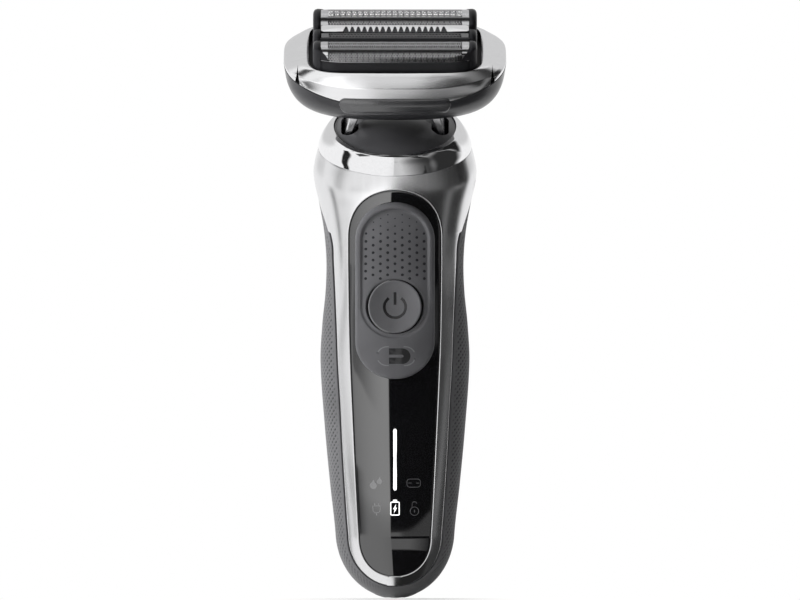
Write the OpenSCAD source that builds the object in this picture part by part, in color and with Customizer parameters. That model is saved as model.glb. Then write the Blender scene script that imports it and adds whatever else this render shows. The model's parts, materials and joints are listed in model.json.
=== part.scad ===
// Foil shaver: a contoured handle with a lock slider and power button, and a lift-off
// shaving head that rolls and pitches on a yoke and carries a cassette of floating foils.
// Units are millimetres. The foot's lowest point is the origin, +Z runs up the handle and
// the front faces -Y. Head parts are drawn in the head's own frame, which leans forward.

/* [Handle] */
// Height of the collar seam at the front of the handle
handle_len = 114.2; // [108:0.2:122]
// Width across the palm swell
grip_w = 40.4; // [38:0.2:46]
// Width at the waist under the shoulder
waist_w = 37.2; // [36:0.2:42]
// Width across the shoulder
shoulder_w = 44.2; // [43:0.2:50]
// Width just above the rounded foot
foot_w = 32.2; // [31:0.2:36]
// Height of the rounded foot
foot_h = 17; // [14:0.5:20]
// Depth from the centre plane to the front
front_d = 13.3; // [12.8:0.1:15]
// Depth from the centre plane to the palm swell at the back
swell_d = 16.5; // [15:0.1:19]
// Depth from the centre plane to the back of the waist
waist_d = 14.2; // [13.6:0.1:16]
// Wall of the handle shells
wall = 1.8; // [1.4:0.1:2.2]

/* [Control panel] */
// Height where the silver frame starts above the foot
frame_base = 3.1; // [2.4:0.1:4]
// Height where the glossy panel starts
panel_base = 6; // [5.4:0.1:7]
// Radius of the panel's round top
panel_r = 12.5; // [11.8:0.1:13]
// Distance of the panel's top below the collar seam
panel_drop = 4.1; // [3.5:0.1:6]
// Half width of the lock slider
slider_r = 10.2; // [9:0.1:10.6]
// Length of the lock slider
slider_len = 47.6; // [42:0.2:52]
// Travel of the lock slider
slider_travel = 2.4; // [1:0.1:2.8]
// Radius of the power button
button_r = 7.2; // [6:0.1:7.6]
// Travel of the power button
button_travel = 0.6; // [0.3:0.1:0.8]
// Length of the light bar
bar_len = 16.7; // [12:0.1:18]
// Width of the light bar
bar_w = 1; // [0.6:0.1:1.6]

/* [Inside the handle] */
// Diameter of the battery cell
cell_d = 14.2; // [12:0.1:14.4]
// Length of the battery cell
cell_len = 50; // [44:0.5:52]
// Radius of the charging contact pins
pin_r = 0.8; // [0.6:0.05:1]
// Distance between the charging contact pins
pin_pitch = 5.8; // [5:0.1:6.4]
// Width of the charging socket's recess
socket_w = 11.6; // [10.6:0.1:12.4]
// Depth of the charging socket's recess, front to back
socket_d = 6.4; // [6:0.1:7]
// Thickness of the circuit board
board_t = 1.2; // [0.8:0.1:1.6]

/* [Neck] */
// Forward lean of the head
lean = 30; // [24:0.5:32]
// Width of the collar at its seam
collar_w = 41.6; // [41:0.2:45]
// Depth of the collar at its seam
collar_d = 32.4; // [31.6:0.2:35]
// Radius of the collar's round mouth
mouth_r = 16.6; // [16.2:0.1:17.2]
// Height of the collar from its seam to its mouth
collar_h = 6.6; // [6:0.1:8]
// Radius of the roll pin
roll_pin_r = 1.3; // [1:0.05:1.6]
// Roll of the head each way
roll_deg = 8; // [2:1:8]
// Pitch of the head each way
pitch_deg = 15; // [5:1:15]

/* [Head] */
// Width of the head
head_w = 60.2; // [58:0.2:64]
// Depth of the head
head_d = 33.6; // [33:0.2:36]
// Height of the head's underside above the collar mouth
head_gap = 7; // [6.6:0.1:9]
// Height of the seam at the front between head base and cassette frame
seam_w = 16.2; // [15.8:0.1:17]
// Wall of the head's shells
head_wall = 1.5; // [1.2:0.1:1.8]
// Radius of the head's axle pins
axle_r = 1.5; // [1.2:0.05:1.8]
// Stroke of the cutters each way
stroke = 1.2; // [0.6:0.1:1.4]

/* [Cassette] */
// Radius of the foils
foil_r = 5; // [4.8:0.05:5.4]
// Distance of each foil from the trimmer
foil_pitch = 8.8; // [8.7:0.05:9.2]
// Length of the foils
foil_len = 40.2; // [38:0.2:41]
// Length of the floating holders
holder_len = 44.4; // [43.4:0.2:44.8]
// Width of the foil holders
holder_w = 8.2; // [8:0.05:8.3]
// Width of the trimmer holder
trimmer_w = 7.2; // [6.8:0.05:7.4]
// Float of the foils and the trimmer
float_travel = 2; // [1:0.1:2]
// Teeth of the trimmer comb
comb_teeth = 17; // [13:1:21]
// Blades in each cutter
blades = 22; // [16:1:26]

/* [Hidden] */
$fn = 48;
gap = 0.3;       // between pieces that move past each other
fit = 0.05;      // radial running clearance of pins in their bores
seat = 0.1;      // between pieces that are fastened together
tilt_base = 18.6;  // height over which the sections turn from level to the seam's lean
far = 2 * handle_len;  // longer than any piece, for cuts that go right through

// ---- General functions ----
function lerp(a, b, t) = a + (b - a) * t;
function clamp01(t) = max(0, min(1, t));
function spow(v, e) = sign(v) * pow(abs(v), e);

// Smooth curve through a list of [place, value] stations
function slope(table, i) =
    let(a = table[max(0, i - 1)], b = table[min(len(table) - 1, i + 1)])
    (b[1] - a[1]) / (b[0] - a[0]);
function curve(table, s, i = 0) =
    s >= table[i + 1][0] && i < len(table) - 2 ? curve(table, s, i + 1) :
    let(a = table[i], b = table[i + 1], d = b[0] - a[0], t = clamp01((s - a[0]) / d),
        m = slope(table, i) * d, n = slope(table, i + 1) * d)
    (2*t*t*t - 3*t*t + 1) * a[1] + (t*t*t - 2*t*t + t) * m
        + (3*t*t - 2*t*t*t) * b[1] + (t*t*t - t*t) * n;

// Two triangles between neighbouring rows of a grid of points; the other half of a
// symmetrical piece has its diagonals turned, so that both halves match
function cell(a, b, c, d, turned = false) = turned ? [[b, a, d], [b, d, c]] : [[a, d, c], [a, c, b]];
function flatten(lists) = [for (list = lists) for (item = list) item];
function reversed(faces) = [for (f = faces) [f[2], f[1], f[0]]];

// Solid through closed loops of points; the first and last loops are capped
module loft(rows) {
    n = len(rows[0]);
    last = (len(rows) - 1) * n;
    sides = flatten([for (r = [0:len(rows) - 2]) for (i = [0:n - 1])
        cell(r*n + i, r*n + (i + 1) % n, (r + 1)*n + (i + 1) % n, (r + 1)*n + i, i < n / 2)]);
    caps = flatten([for (i = [1:n - 2]) [[0, i, i + 1], [last, last + i + 1, last + i]]]);
    polyhedron(flatten(rows), concat(sides, caps));
}

// Closed ring through loops of points, where the last loop joins the first
module ring(rows) {
    n = len(rows[0]);
    m = len(rows);
    polyhedron(flatten(rows), flatten([for (r = [0:m - 1]) for (i = [0:n - 1])
        cell(r*n + i, r*n + (i + 1) % n, ((r + 1) % m)*n + (i + 1) % n, ((r + 1) % m)*n + i, i < n / 2)]));
}

// Thick open patch between an outer and an inner grid of points
module patch(outer, inner) {
    m = len(outer);
    n = len(outer[0]);
    k = m * n;
    face = flatten([for (r = [0:m - 2]) for (i = [0:n - 2])
        cell(r*n + i, r*n + i + 1, (r + 1)*n + i + 1, (r + 1)*n + i, i < floor(n / 2))]);
    back = reversed([for (f = face) [f[0] + k, f[1] + k, f[2] + k]]);
    rim = concat([for (i = [0:n - 1]) i], [for (r = [1:m - 1]) r*n + n - 1],
        [for (i = [1:n - 1]) m*n - 1 - i], [for (r = [1:m - 2]) (m - 1 - r)*n]);
    walls = flatten([for (j = [0:len(rim) - 1]) let(a = rim[j], b = rim[(j + 1) % len(rim)])
        cell(a + k, b + k, b, a)]);
    polyhedron(concat(flatten(outer), flatten(inner)), concat(face, back, walls));
}

// ---- Handle surface ----
// Each section of the handle has its own front height f; higher sections lean forward
function lean_at(f) = lean * clamp01((f - handle_len + tilt_base) / tilt_base);
function centre_z(f) = f + collar_d / 2 * sin(lean_at(f));
crown_z = centre_z(handle_len);
width_line = [
    [0, foot_w/2 - 0.6], [foot_h, foot_w/2], [0.27*handle_len, lerp(foot_w, grip_w, 0.36)/2],
    [0.4*handle_len, lerp(foot_w, grip_w, 0.7)/2], [0.56*handle_len, grip_w/2],
    [0.65*handle_len, lerp(waist_w, grip_w, 0.7)/2], [0.73*handle_len, lerp(waist_w, grip_w, 0.14)/2],
    [0.8*handle_len, waist_w/2], [crown_z - 23, lerp(waist_w, shoulder_w, 0.17)/2],
    [crown_z - 15.5, lerp(waist_w, shoulder_w, 0.53)/2],
    [crown_z - 6.8, shoulder_w/2], [crown_z, collar_w/2]];
front_line = [
    [0, front_d - 1.6], [foot_h, front_d - 0.8], [0.35*handle_len, front_d],
    [0.84*handle_len, front_d], [crown_z - 14, lerp(front_d, collar_d/2, 0.32)],
    [crown_z - 6, lerp(front_d, collar_d/2, 0.72)], [crown_z, collar_d/2]];
back_line = [
    [0, front_d - 1.6], [foot_h, front_d - 0.8], [0.35*handle_len, lerp(front_d, swell_d, 0.5)],
    [0.57*handle_len, swell_d], [0.8*handle_len, waist_d], [crown_z - 14, waist_d + 0.6],
    [crown_z - 6, lerp(waist_d, collar_d/2, 0.7)], [crown_z, collar_d/2]];
function squareness(f) = lerp(2.4, 2, clamp01((f - handle_len + tilt_base) / tilt_base));

// Point at front height f and angle a from the front, sunk t below the surface
function skin(f, a, t = 0) =
    let(z = centre_z(f), h = foot_h - t, n = squareness(f),
        lift = max(f, min(t, foot_h)),
        round = lift >= foot_h ? 1 : sqrt(max(0, 1 - pow((foot_h - lift) / h, 2))),
        depth = cos(a) > 0 ? curve(front_line, z) : curve(back_line, z),
        x = (curve(width_line, z) - t) * round * spow(sin(a), 2 / n),
        y = -(depth - t) * round * spow(cos(a), 2 / n))
    [x, y * cos(lean_at(f)), z + (lift - f) + y * sin(lean_at(f))];
// Angle from the front at which the surface is x wide of the centre plane
function angle_of(x, f) =
    let(z = centre_z(f), round = f >= foot_h ? 1 : sqrt(max(0.01, 1 - pow((foot_h - f) / foot_h, 2))))
    asin(min(1, pow(x / (curve(width_line, z) * round), squareness(f) / 2)));
// Front of the handle on the centre plane
function front_y(f) = skin(f, 0)[1];

// ---- Seams on the handle ----
panel_top = handle_len - panel_drop;
arc_z = panel_top - panel_r;
foot_curve = [0, 13, 30, 48, 68, 90];
frame_tip = 2;   // half width of the frame's lowest edge
panel_foot = foot_h - panel_base;
straight_rows = 12;
arc_steps = 5;     // rows from the start of the round top up to its 45 degree points
arc_high = panel_r * sin(45);
shoulder_steps = [0.12, 0.26, 0.5, 0.75, 1];
// Rows of the surface grid: height beside the panel and height on the centre line
row_f = concat(
    [for (k = [0, 0.12, 0.48]) k * frame_base * [1, 1]],
    [for (k = [0, 0.17, 0.5]) lerp(frame_base, panel_base, k) * [1, 1]],
    [for (a = foot_curve) (panel_base + panel_foot * (1 - cos(a))) * [1, 1]],
    [for (k = [1:straight_rows]) lerp(foot_h, arc_z, k / straight_rows) * [1, 1]],
    [for (k = [1:arc_steps]) [arc_z + panel_r * sin(45 * k / arc_steps), arc_z + panel_r * k / arc_steps]],
    [for (k = shoulder_steps) [lerp(arc_z + arc_high, handle_len, k), lerp(panel_top, handle_len, k)]]);
frame_row = 3;
panel_row = 6;
arc_row = panel_row + len(foot_curve) + straight_rows - 1;
panel_end_row = arc_row + arc_steps;
grip_row = panel_end_row + 2;
last_row = len(row_f) - 1;

panel_line = [[foot_h, panel_r - 2.8], [0.19*handle_len, panel_r - 2.5], [0.36*handle_len, panel_r - 1.55],
    [0.6*handle_len, panel_r - 0.4], [arc_z - 8, panel_r], [arc_z, panel_r]];
function panel_x(f) =
    f <= panel_base ? frame_tip - 0.2 :
    f < foot_h ? max(frame_tip - 0.2, curve(panel_line, foot_h)
        * pow(1 - pow((foot_h - f) / panel_foot, 2.2), 1 / 2.2)) :
    f <= arc_z ? curve(panel_line, f) :
    max(arc_high, sqrt(max(0, panel_r * panel_r - pow(f - arc_z, 2))));
edge_line = [[foot_h, foot_w/2 - 3.2], [0.19*handle_len, foot_w/2 - 2.8],
    [0.34*handle_len, grip_w/2 - 5.8], [0.45*handle_len, grip_w/2 - 5.2], [0.555*handle_len, grip_w/2 - 4.5],
    [0.65*handle_len, grip_w/2 - 4.1], [0.8*handle_len, waist_w/2 - 1.7],
    [0.845*handle_len, waist_w/2 - 1.35], [0.9*handle_len, waist_w/2 + 0.9]];
edge_turn = [[arc_z + 1, 69], [arc_z + 4.3, 77], [arc_z + 7.4, 89], [arc_z + 8.9, 98], [arc_z + 9.8, 108],
    [arc_z + 10.9, 128]];
function frame_x(f) = f < foot_h
    ? max(frame_tip, curve(edge_line, foot_h)
        * sqrt(1 - pow((foot_h - f) / (foot_h - frame_base), 2)))
    : curve(edge_line, f);
function frame_angle(f) =
    f <= frame_base ? 10 : f < arc_z + 1 ? angle_of(frame_x(f), f) : curve(edge_turn, f);
function panel_angle(f) = f <= frame_base ? 5 : angle_of(panel_x(f), f);

panel_cols = 4;  // columns of cells in half the panel, in the frame beside it and in the grip
frame_cols = 6;
grip_cols = 8;
half_cols = panel_cols + frame_cols + grip_cols;
function column_angle(f, i) =
    i <= panel_cols ? panel_angle(f) * i / panel_cols :
    i <= panel_cols + frame_cols ? lerp(panel_angle(f), frame_angle(f), (i - panel_cols) / frame_cols) :
    lerp(frame_angle(f), 180, (i - panel_cols - frame_cols) / grip_cols);
// Height at column i of row r, which arches over the panel's round top
arch = [for (i = [0:panel_cols]) (sqrt(1 - pow(i / panel_cols, 2) / 2) - sqrt(0.5)) / (1 - sqrt(0.5))];
function row_at(r, i) =
    i >= panel_cols ? row_f[r][0] : lerp(row_f[r][0], row_f[r][1], arch[i]);
function grid_point(r, i, t) =
    let(f = row_f[r][0], x = panel_x(f) * i / panel_cols, g = row_at(r, i))
    i < panel_cols && g > arc_z ? skin(g, angle_of(x, g), t) : skin(f, column_angle(f, i), t);
function mirrored_x(p) = [-p[0], p[1], p[2]];
function grid_row(r, t) = [for (i = [0:2 * half_cols - 1])
    i <= half_cols ? grid_point(r, i, t) : mirrored_x(grid_point(r, 2 * half_cols - i, t))];
function grid(t, from = 0) = [for (r = [from:last_row]) grid_row(r, t)];

// Which piece a cell of the handle's surface belongs to: 0 panel, 1 frame, 2 grip
function owner(r, i) =
    let(k = min(i, 2 * half_cols - 1 - i))
    r < frame_row ? 2 :
    k < panel_cols ? (r >= panel_row && r < panel_end_row ? 0 : 1) :
    k < panel_cols + frame_cols || r >= grip_row ? 1 : 2;

// Shell made of the surface cells of one owner; the lowest row is a single point
module handle_shell(who) {
    outer = grid(0);
    inner = grid(wall);
    n = 2 * half_cols;
    k = len(row_f) * n;
    function id(r, i) = r == 0 ? 0 : r * n + (i + n) % n;
    function mine(r, i) = r >= 0 && r < last_row && owner(r, (i + n) % n) == who;
    cells = [for (r = [0:last_row - 1]) for (i = [0:n - 1]) if (mine(r, i)) [r, i]];
    face = flatten([for (c = cells) let(r = c[0], i = c[1])
        r == 0 ? [[0, id(1, i), id(1, i + 1)]]
            : cell(id(r, i), id(r, i + 1), id(r + 1, i + 1), id(r + 1, i), i < half_cols)]);
    back = reversed([for (f = face) [f[0] + k, f[1] + k, f[2] + k]]);
    function wall_faces(a, b) = cell(a + k, b + k, b, a);
    walls = flatten([for (c = cells) let(r = c[0], i = c[1]) concat(
        r > 0 && !mine(r - 1, i) ? wall_faces(id(r, i), id(r, i + 1)) : [],
        !mine(r + 1, i) ? wall_faces(id(r + 1, i + 1), id(r + 1, i)) : [],
        !mine(r, i + 1) ? wall_faces(id(r, i + 1), id(r + 1, i + 1)) : [],
        !mine(r, i - 1) ? wall_faces(id(r + 1, i), id(r, i)) : [])]);
    polyhedron(concat(flatten(outer), flatten(inner)), concat(face, back, walls));
}

// ---- Places inside the handle ----
board_y = -front_d + 7.1;          // back face of the circuit board
board_front = board_y - board_t;
board_z = [18, arc_z + 1];         // lower and upper edge of the board
board_w = 18;
chassis_z = 15.1;
cell_z = chassis_z + 3.4;
cell_y = 2.2;
socket_wall = 1.1;
socket_y = 5.8;
socket_floor = 13.2;
mouth_slope = 40.3;                // slope of the foot round the socket's mouth
pin_len = 4.7;                     // length of the contact pins below their shoulder
shank_r = pin_r - 0.2;
pin_tip = socket_floor - seat - pin_len;
button_z = arc_z - 18.6;
slider_z = [panel_top - 3.1 - slider_len, panel_top - 3.1];
slider_lift = [0.5, 1.7];          // underside and top of the slider over the panel
stem_z = [arc_z - 2.6, arc_z + 3];
stem_w = 4.4;
button_stem_r = 1.6;
guide_y = board_front - 3;         // front face of the slider guide
guide_t = 1;
guide_x = board_w / 2 - 1;         // half width of the slider guide
guide_z = [button_z - 7, stem_z[1] + slider_travel + 2.4];
post_r = 1.2;                      // posts between the slider guide and the board
post_x = guide_x - 1.6;
post_z = [guide_z[0] + 2, board_z[1] - 8];
plunger_y = board_front - 1.9;
bar_z = 0.256 * handle_len;
release_at = skin(0.87 * handle_len, 180);
release_size = [11, 7.4];
release_travel = 1;
screw_z = [board_z[0] + 3, board_z[1] - 3];
screw_x = board_w / 2 - 1.8;
screw_r = 0.8;
contact_z = 13;
contact_x = 4.5;
contact_r = 1.3;

// A round-ended bar w wide and h tall, extruded t along +Y from y
module pill(w, h, y, t) {
    r = min(w, h) / 2;
    translate([0, y, 0]) rotate([-90, 0, 0]) linear_extrude(t) union() {
        square([w - (w < h ? 0 : 2 * r), h - (w < h ? 2 * r : 0)], center = true);
        for (s = [-1, 1]) translate(w < h ? [0, s * (h/2 - r)] : [s * (w/2 - r), 0]) circle(r);
    }
}
module box(x, y, z) translate([x[0], y[0], z[0]]) cube([x[1] - x[0], y[1] - y[0], z[1] - z[0]]);
module rod_y(r, y, x = 0, z = 0) translate([x, y[0], z]) rotate([-90, 0, 0])
    cylinder(r = r, h = y[1] - y[0]);

// ---- Handle shells ----
module front_frame() color("silver") handle_shell(1);

module socket_prism(grow, z0, z1) translate([0, socket_y, z0]) linear_extrude(z1 - z0) {
    square([socket_w - socket_d, socket_d + 2 * grow], center = true);
    for (s = [-1, 1]) translate([s * (socket_w - socket_d) / 2, 0]) circle(socket_d / 2 + grow);
}

module rear_grip() color("dimgray") difference() {
    handle_shell(2);
    socket_prism(socket_wall + seat, -1, chassis_z);
    for (s = [-1, 1]) rod_y(contact_r + fit, [0, far], s * contact_x, contact_z);
    translate([0, 0, release_at[2]])
        pill(release_size[0] + 2 * gap, release_size[1] + 2 * gap, 4, far);
}

module display_panel() color([0.05, 0.05, 0.06]) difference() {
    handle_shell(0);
    box([-bar_w/2 - seat, bar_w/2 + seat], [-far, 0], [bar_z - seat, bar_z + bar_len + seat]);
    box([-stem_w/2 - gap, stem_w/2 + gap], [-far, 0], [stem_z[0] - gap, stem_z[1] + slider_travel + gap]);
    stem_slot(button_stem_r + gap, [-far, 0]);
}
// Slot for the power button's stem, which travels with the slider
module stem_slot(r, y) {
    rod_y(r, y, 0, button_z);
    rod_y(r, y, 0, button_z + slider_travel);
    box([-r, r], y, [button_z, button_z + slider_travel]);
}

// Point of the surface x beside the centre plane
function beside(f, x, t) = skin(f, x < 0 ? -angle_of(-x, f) : angle_of(x, f), t);
module light_bar() color("white") {
    side = [for (k = [-1, 0, 1]) k * bar_w / 2];
    rows = [for (k = [0:5]) bar_z + bar_len * k / 5];
    patch([for (f = rows) [for (x = side) beside(f, x, -0.04)]],
        [for (f = rows) [for (x = side) beside(f, x, wall + 1)]]);
}

// ---- Inside the handle ----
module inner_chassis() color("gray") difference() {
    loft(grid(wall + seat, panel_row + len(foot_curve) - 2));
    box([-far, far], [-far, far], [0, chassis_z]);
    head_frame() box([-far, far], [-far, far], [-collar_h - 2, far]);
    box([-far, far], [-far, board_y], [0, guide_z[1] + 1]);
    translate([0, cell_y, cell_z - 1]) cylinder(d = cell_d + 2 * seat, h = cell_len + 2);
    box([-cell_d/2 - seat, cell_d/2 + seat], [-far, cell_y], [cell_z - 1, cell_z + cell_len + 1]);
    for (k = [0, 1]) let(z = cell_z + cell_len + 4 + 12.5 * k)
        box([-board_w/2, board_w/2], [-far, 8], [z, min(z + 10.5, release_at[2] - 6)]);
    for (s = [-1, 1]) for (z = screw_z) rod_y(screw_r + fit, [-far, -2], s * screw_x, z);
    pin_bores();
    translate([0, 0, release_at[2]])
        pill(release_size[0] + 2 * gap, release_size[1] + 2 * gap, release_at[1] - 6.3, far);
    head_frame() translate([0, spigot_v, -spigot_deep - gap]) cylinder(r = spigot_r + gap, h = far);
    head_frame() for (s = [-1, 0, 1]) translate([3 * s, spigot_v, -spigot_deep - 3])
        cylinder(r = 0.6 + fit, h = 10);
}

module battery_cell() color("seagreen") translate([0, cell_y, cell_z]) {
    cylinder(d = cell_d, h = cell_len - 0.6);
    cylinder(d = cell_d * 0.42, h = cell_len);
}
module battery_contacts() color("gold") {
    box([-3, 3], [cell_y - 2.5, cell_y + 2.5], [cell_z - 0.6, cell_z - 0.1]);
    box([-3, 3], [cell_y - 2.5, cell_y + 2.5], [cell_z + cell_len + 0.1, cell_z + cell_len + 0.6]);
}

module main_board() color("darkgreen") difference() {
    box([-board_w/2, board_w/2], [board_front, board_y], board_z);
    for (s = [-1, 1]) for (z = screw_z) rod_y(screw_r + seat, [-far, 0], s * screw_x, z);
}
module board_screws() color("silver") for (s = [-1, 1]) for (z = screw_z) {
    rod_y(screw_r, [board_front, -2.6], s * screw_x, z);
    rod_y(1.4, [board_front - 1, board_front], s * screw_x, z);
}
module tact_switch() color("black") {
    box([-2.6, 2.6], [board_front - 1.4, board_front], [button_z - 2.6, button_z + 2.6]);
    rod_y(1.2, [plunger_y, board_front - 1.3], 0, button_z);
}
// Places of the lamps: x and height over the bar's foot
led_spots = [[0, -5], [-5, -5], [5, -5], [-5, 2], [5, 2], [0, 4], [0, 12]];
module display_leds() color("ivory") for (p = led_spots)
    box([p[0] - 1, p[0] + 1], [board_front - 0.9, board_front], [bar_z + p[1] - 0.8, bar_z + p[1] + 0.8]);

module slider_guide() color("dimgray") difference() {
    union() {
        box([-guide_x, guide_x], [guide_y, guide_y + guide_t], guide_z);
        for (s = [-1, 1]) for (z = post_z) rod_y(post_r, [guide_y, board_front], s * post_x, z);
    }
    stem_slot(button_stem_r + gap, [-far, 0]);
    box([-stem_w/2 - gap, stem_w/2 + gap], [-far, 0], [stem_z[0] - gap, stem_z[1] + slider_travel + gap]);
}

module charging_socket() color([0.1, 0.1, 0.11]) difference() {
    socket_prism(socket_wall, 0, chassis_z - 0.7);
    socket_prism(0, -1, socket_floor);
    // the mouth is cut along the slope of the foot
    translate([0, socket_y - socket_d/2 - socket_wall, 0.6])
        rotate([mouth_slope, 0, 0]) box([-far, far], [-10, far], [-far, 0]);
    pin_bores();
}
// Bores for the shanks of the contact pins, up into the chassis
module pin_bores() for (s = [-1, 1]) translate([s * pin_pitch/2, socket_y, 0])
    cylinder(r = shank_r + fit, h = chassis_z + 1.6);
module socket_pins() color("gold") for (s = [-1, 1]) translate([s * pin_pitch/2, socket_y, pin_tip]) {
    cylinder(r = pin_r, h = pin_len);
    cylinder(r = shank_r, h = chassis_z + 1.4 - pin_tip);
}
module socket_seal() color("firebrick") difference() {
    socket_prism(socket_wall - 0.3, chassis_z - 0.65, chassis_z - 0.05);
    pin_bores();
}
contact_face = -skin(contact_z, 0)[1];
module station_contacts() color("gold") for (s = [-1, 1])
    rod_y(contact_r, [socket_y + socket_d/2 + socket_wall + seat, contact_face - 0.1],
        s * contact_x, contact_z);
module module_contacts() color("gold") head_frame() for (s = [-1, 0, 1])
    translate([3 * s, spigot_v, -spigot_deep - 2.6]) cylinder(r = 0.6, h = 2.5);

// ---- Lock slider and power button ----
function slider_x(f) =
    let(low = slider_z[0] + slider_r, high = slider_z[1] - slider_r,
        d = f < low ? low - f : f > high ? f - high : 0)
    max(1.2, sqrt(max(0, slider_r * slider_r - d * d)));
slider_rows = concat(
    [for (a = [84, 72, 55, 36, 18]) slider_z[0] + slider_r * (1 - sin(a))],
    [for (k = [0:6]) lerp(slider_z[0] + slider_r, slider_z[1] - slider_r, k / 6)],
    [for (a = [18, 36, 55, 72, 84]) slider_z[1] - slider_r * (1 - sin(a))]);
slider_cols = [-1, -0.94, -0.82, -0.5, 0, 0.5, 0.82, 0.94, 1];
// Height of the slider over the panel at one point of its grid, lowest at the rounded edge
function slider_top(r, k) =
    let(edge = abs(slider_cols[k]), end = min(r, len(slider_rows) - 1 - r))
    lerp(slider_lift[0] + 0.3, slider_lift[1],
        min(edge >= 1 ? 0 : edge > 0.9 ? 0.7 : 1, end == 0 ? 0 : end == 1 ? 0.75 : 1));
function slider_point(f, c, lift) = beside(f, slider_x(f) * c, -lift);
module lock_slider() color([0.33, 0.34, 0.36]) difference() {
    union() {
        patch([for (r = [0:len(slider_rows) - 1]) [for (k = [0:8])
                slider_point(slider_rows[r], slider_cols[k], slider_top(r, k))]],
            [for (f = slider_rows) [for (c = slider_cols) slider_point(f, c, slider_lift[0])]]);
        box([-stem_w/2, stem_w/2], [front_y(arc_z) - 1, guide_y + guide_t + gap], stem_z);
    }
    rod_y(button_r + gap, [-far, front_y(button_z)], 0, button_z);
}
module slider_catch() color("dimgray")
    box([-stem_w, stem_w], [guide_y + guide_t + gap, guide_y + guide_t + gap + 1],
        [stem_z[0] - 2, stem_z[1] + 2]);

// Dished button: profile of radius and height over its underside
dish = [for (k = [0:6]) [button_r * k / 6 * 0.93, 0.55 + 0.35 * pow(k / 6, 2)]];
module power_button() color([0.36, 0.37, 0.39]) translate([0, front_y(button_z) - 0.9, button_z]) {
    rotate([90, 0, 0]) rotate_extrude()
        polygon(concat([[0, 0], [button_r, 0], [button_r, 0.65]], reversed_list(dish)));
    rod_y(button_stem_r, [0, plunger_y - seat - front_y(button_z) + 0.9 - button_travel], 0, 0);
}
function reversed_list(list) = [for (i = [len(list) - 1:-1:0]) list[i]];

module head_release_button() color([0.16, 0.16, 0.17]) translate([0, 0, release_at[2]])
    pill(release_size[0], release_size[1], release_at[1] - 5, 5.3);

// ---- Neck ----
// The head's frame: its origin is the centre of the collar's mouth
module head_frame() translate([0, -collar_h * sin(lean), crown_z + collar_h * cos(lean)])
    rotate([lean, 0, 0]) children();
spigot_r = 8;
spigot_v = -4;       // the spigot sits forward of the collar's centre
spigot_deep = 16;    // depth of the spigot's end below the collar's mouth
roll_w = -2.3;       // height of the roll pin
disc_t = 1.2;        // thickness of the neck's disc
bar_h = [-4.4, -2.9];  // underside and top of the yoke's cross bar
dome_rise = 2.6;
dome_edge = -0.6;
arm_x = [12.3, 14.1];  // the arms where they leave the bar
eye_x = [8.2, 11.4];   // the eyes at the top of the arms
arm_v = 4;             // half depth of the arms
axle_w = head_gap + 6.5;

// Closed loop of an oval, squarer as n rises; lift raises it as a function of x and v
function oval(a, b, w, n = 2, step = 7.5) = [for (k = [0:step:359.9])
    [a * spow(sin(k), 2/n), -b * spow(cos(k), 2/n), w]];

mouth_v = mouth_r - 0.8;
module collar_ring() color("gainsboro") head_frame() {
    a = collar_w / 2;
    b = collar_d / 2;
    r = mouth_r;
    v = mouth_v;
    ring([
        oval(a, b, -collar_h), oval(a - 0.2, b - 0.02, -0.76 * collar_h),
        oval(lerp(a, r + 1.1, 0.32), lerp(b, v + 1, 0.1), -0.46 * collar_h),
        oval(lerp(a, r + 1.1, 0.7), lerp(b, v + 1, 0.5), -0.2 * collar_h),
        oval(r + 1.1, v + 0.75, -0.5), oval(r, v, 0), oval(r, v, -1.4),
        oval(lerp(a - wall, r, 0.3), lerp(b, v, 0.6) - 0.5, -0.5 * collar_h),
        oval(a - wall, b - wall * 0.9, -collar_h)]);
}

module neck_base() color([0.15, 0.15, 0.16]) head_frame() difference() {
    disc_r = collar_d/2 - wall * 0.9 - 0.3;
    disc_top = -collar_h + seat + disc_t;
    bar_clear = (bar_h[0] - disc_top - gap) / tan(roll_deg);
    union() {
        translate([0, 0, disc_top - disc_t]) cylinder(r = disc_r, h = disc_t);
        translate([0, spigot_v, -spigot_deep]) cylinder(r = spigot_r, h = spigot_deep + disc_top - 0.7);
        for (s = [-1, 1]) box([-2.6, 2.6], s > 0 ? [6.4, 8] : [-8, -6.4],
            [-collar_h + 1, roll_w + roll_pin_r + 0.8]);
    }
    // room for the yoke's bar as it rolls, and holes for its ends
    for (s = [-1, 1]) {
        side_box(s, [bar_clear, 15.2], [-5, 5], [disc_top - 0.7, 0]);
        side_box(s, [9.4, 15.2], [-5, 5], [-10, 0]);
    }
    roll_bore();
}

function dome_top(k) = dome_edge + dome_rise * (1 - k * k);
module neck_dome() color([0.24, 0.24, 0.25]) head_frame() difference() {
    a = mouth_r - seat;
    b = mouth_v - seat;
    steps = [0.14, 0.42, 0.66, 0.86, 1];
    loft(concat([for (k = steps) oval((a - 1) * k, (b - 1) * k, dome_top(k) - 1.1)],
        [oval(a, b, dome_edge - 0.9)], [for (k = reversed_list(steps)) oval(a * k, b * k, dome_top(k))]));
    for (s = [-1, 1]) translate([s * (eye_x[0] + 4.15), 0, -5]) linear_extrude(10) {
        square([5.1, 5.7], center = true);
        for (e = [-1, 1]) translate([0, e * 2.85]) circle(2.55);
    }
}

// Bores that run right through for the roll pin and for the axles
module roll_bore() rotate([-90, 0, 0]) translate([0, -roll_w, -far/2])
    cylinder(r = roll_pin_r + fit, h = far);
module axle_bore() translate([-far/2, 0, axle_w]) rotate([0, 90, 0])
    cylinder(r = axle_r + fit, h = far);
module roll_pin() color("silver") head_frame() rotate([-90, 0, 0]) translate([0, -roll_w, -8.4])
    cylinder(r = roll_pin_r, h = 16.8);

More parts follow.
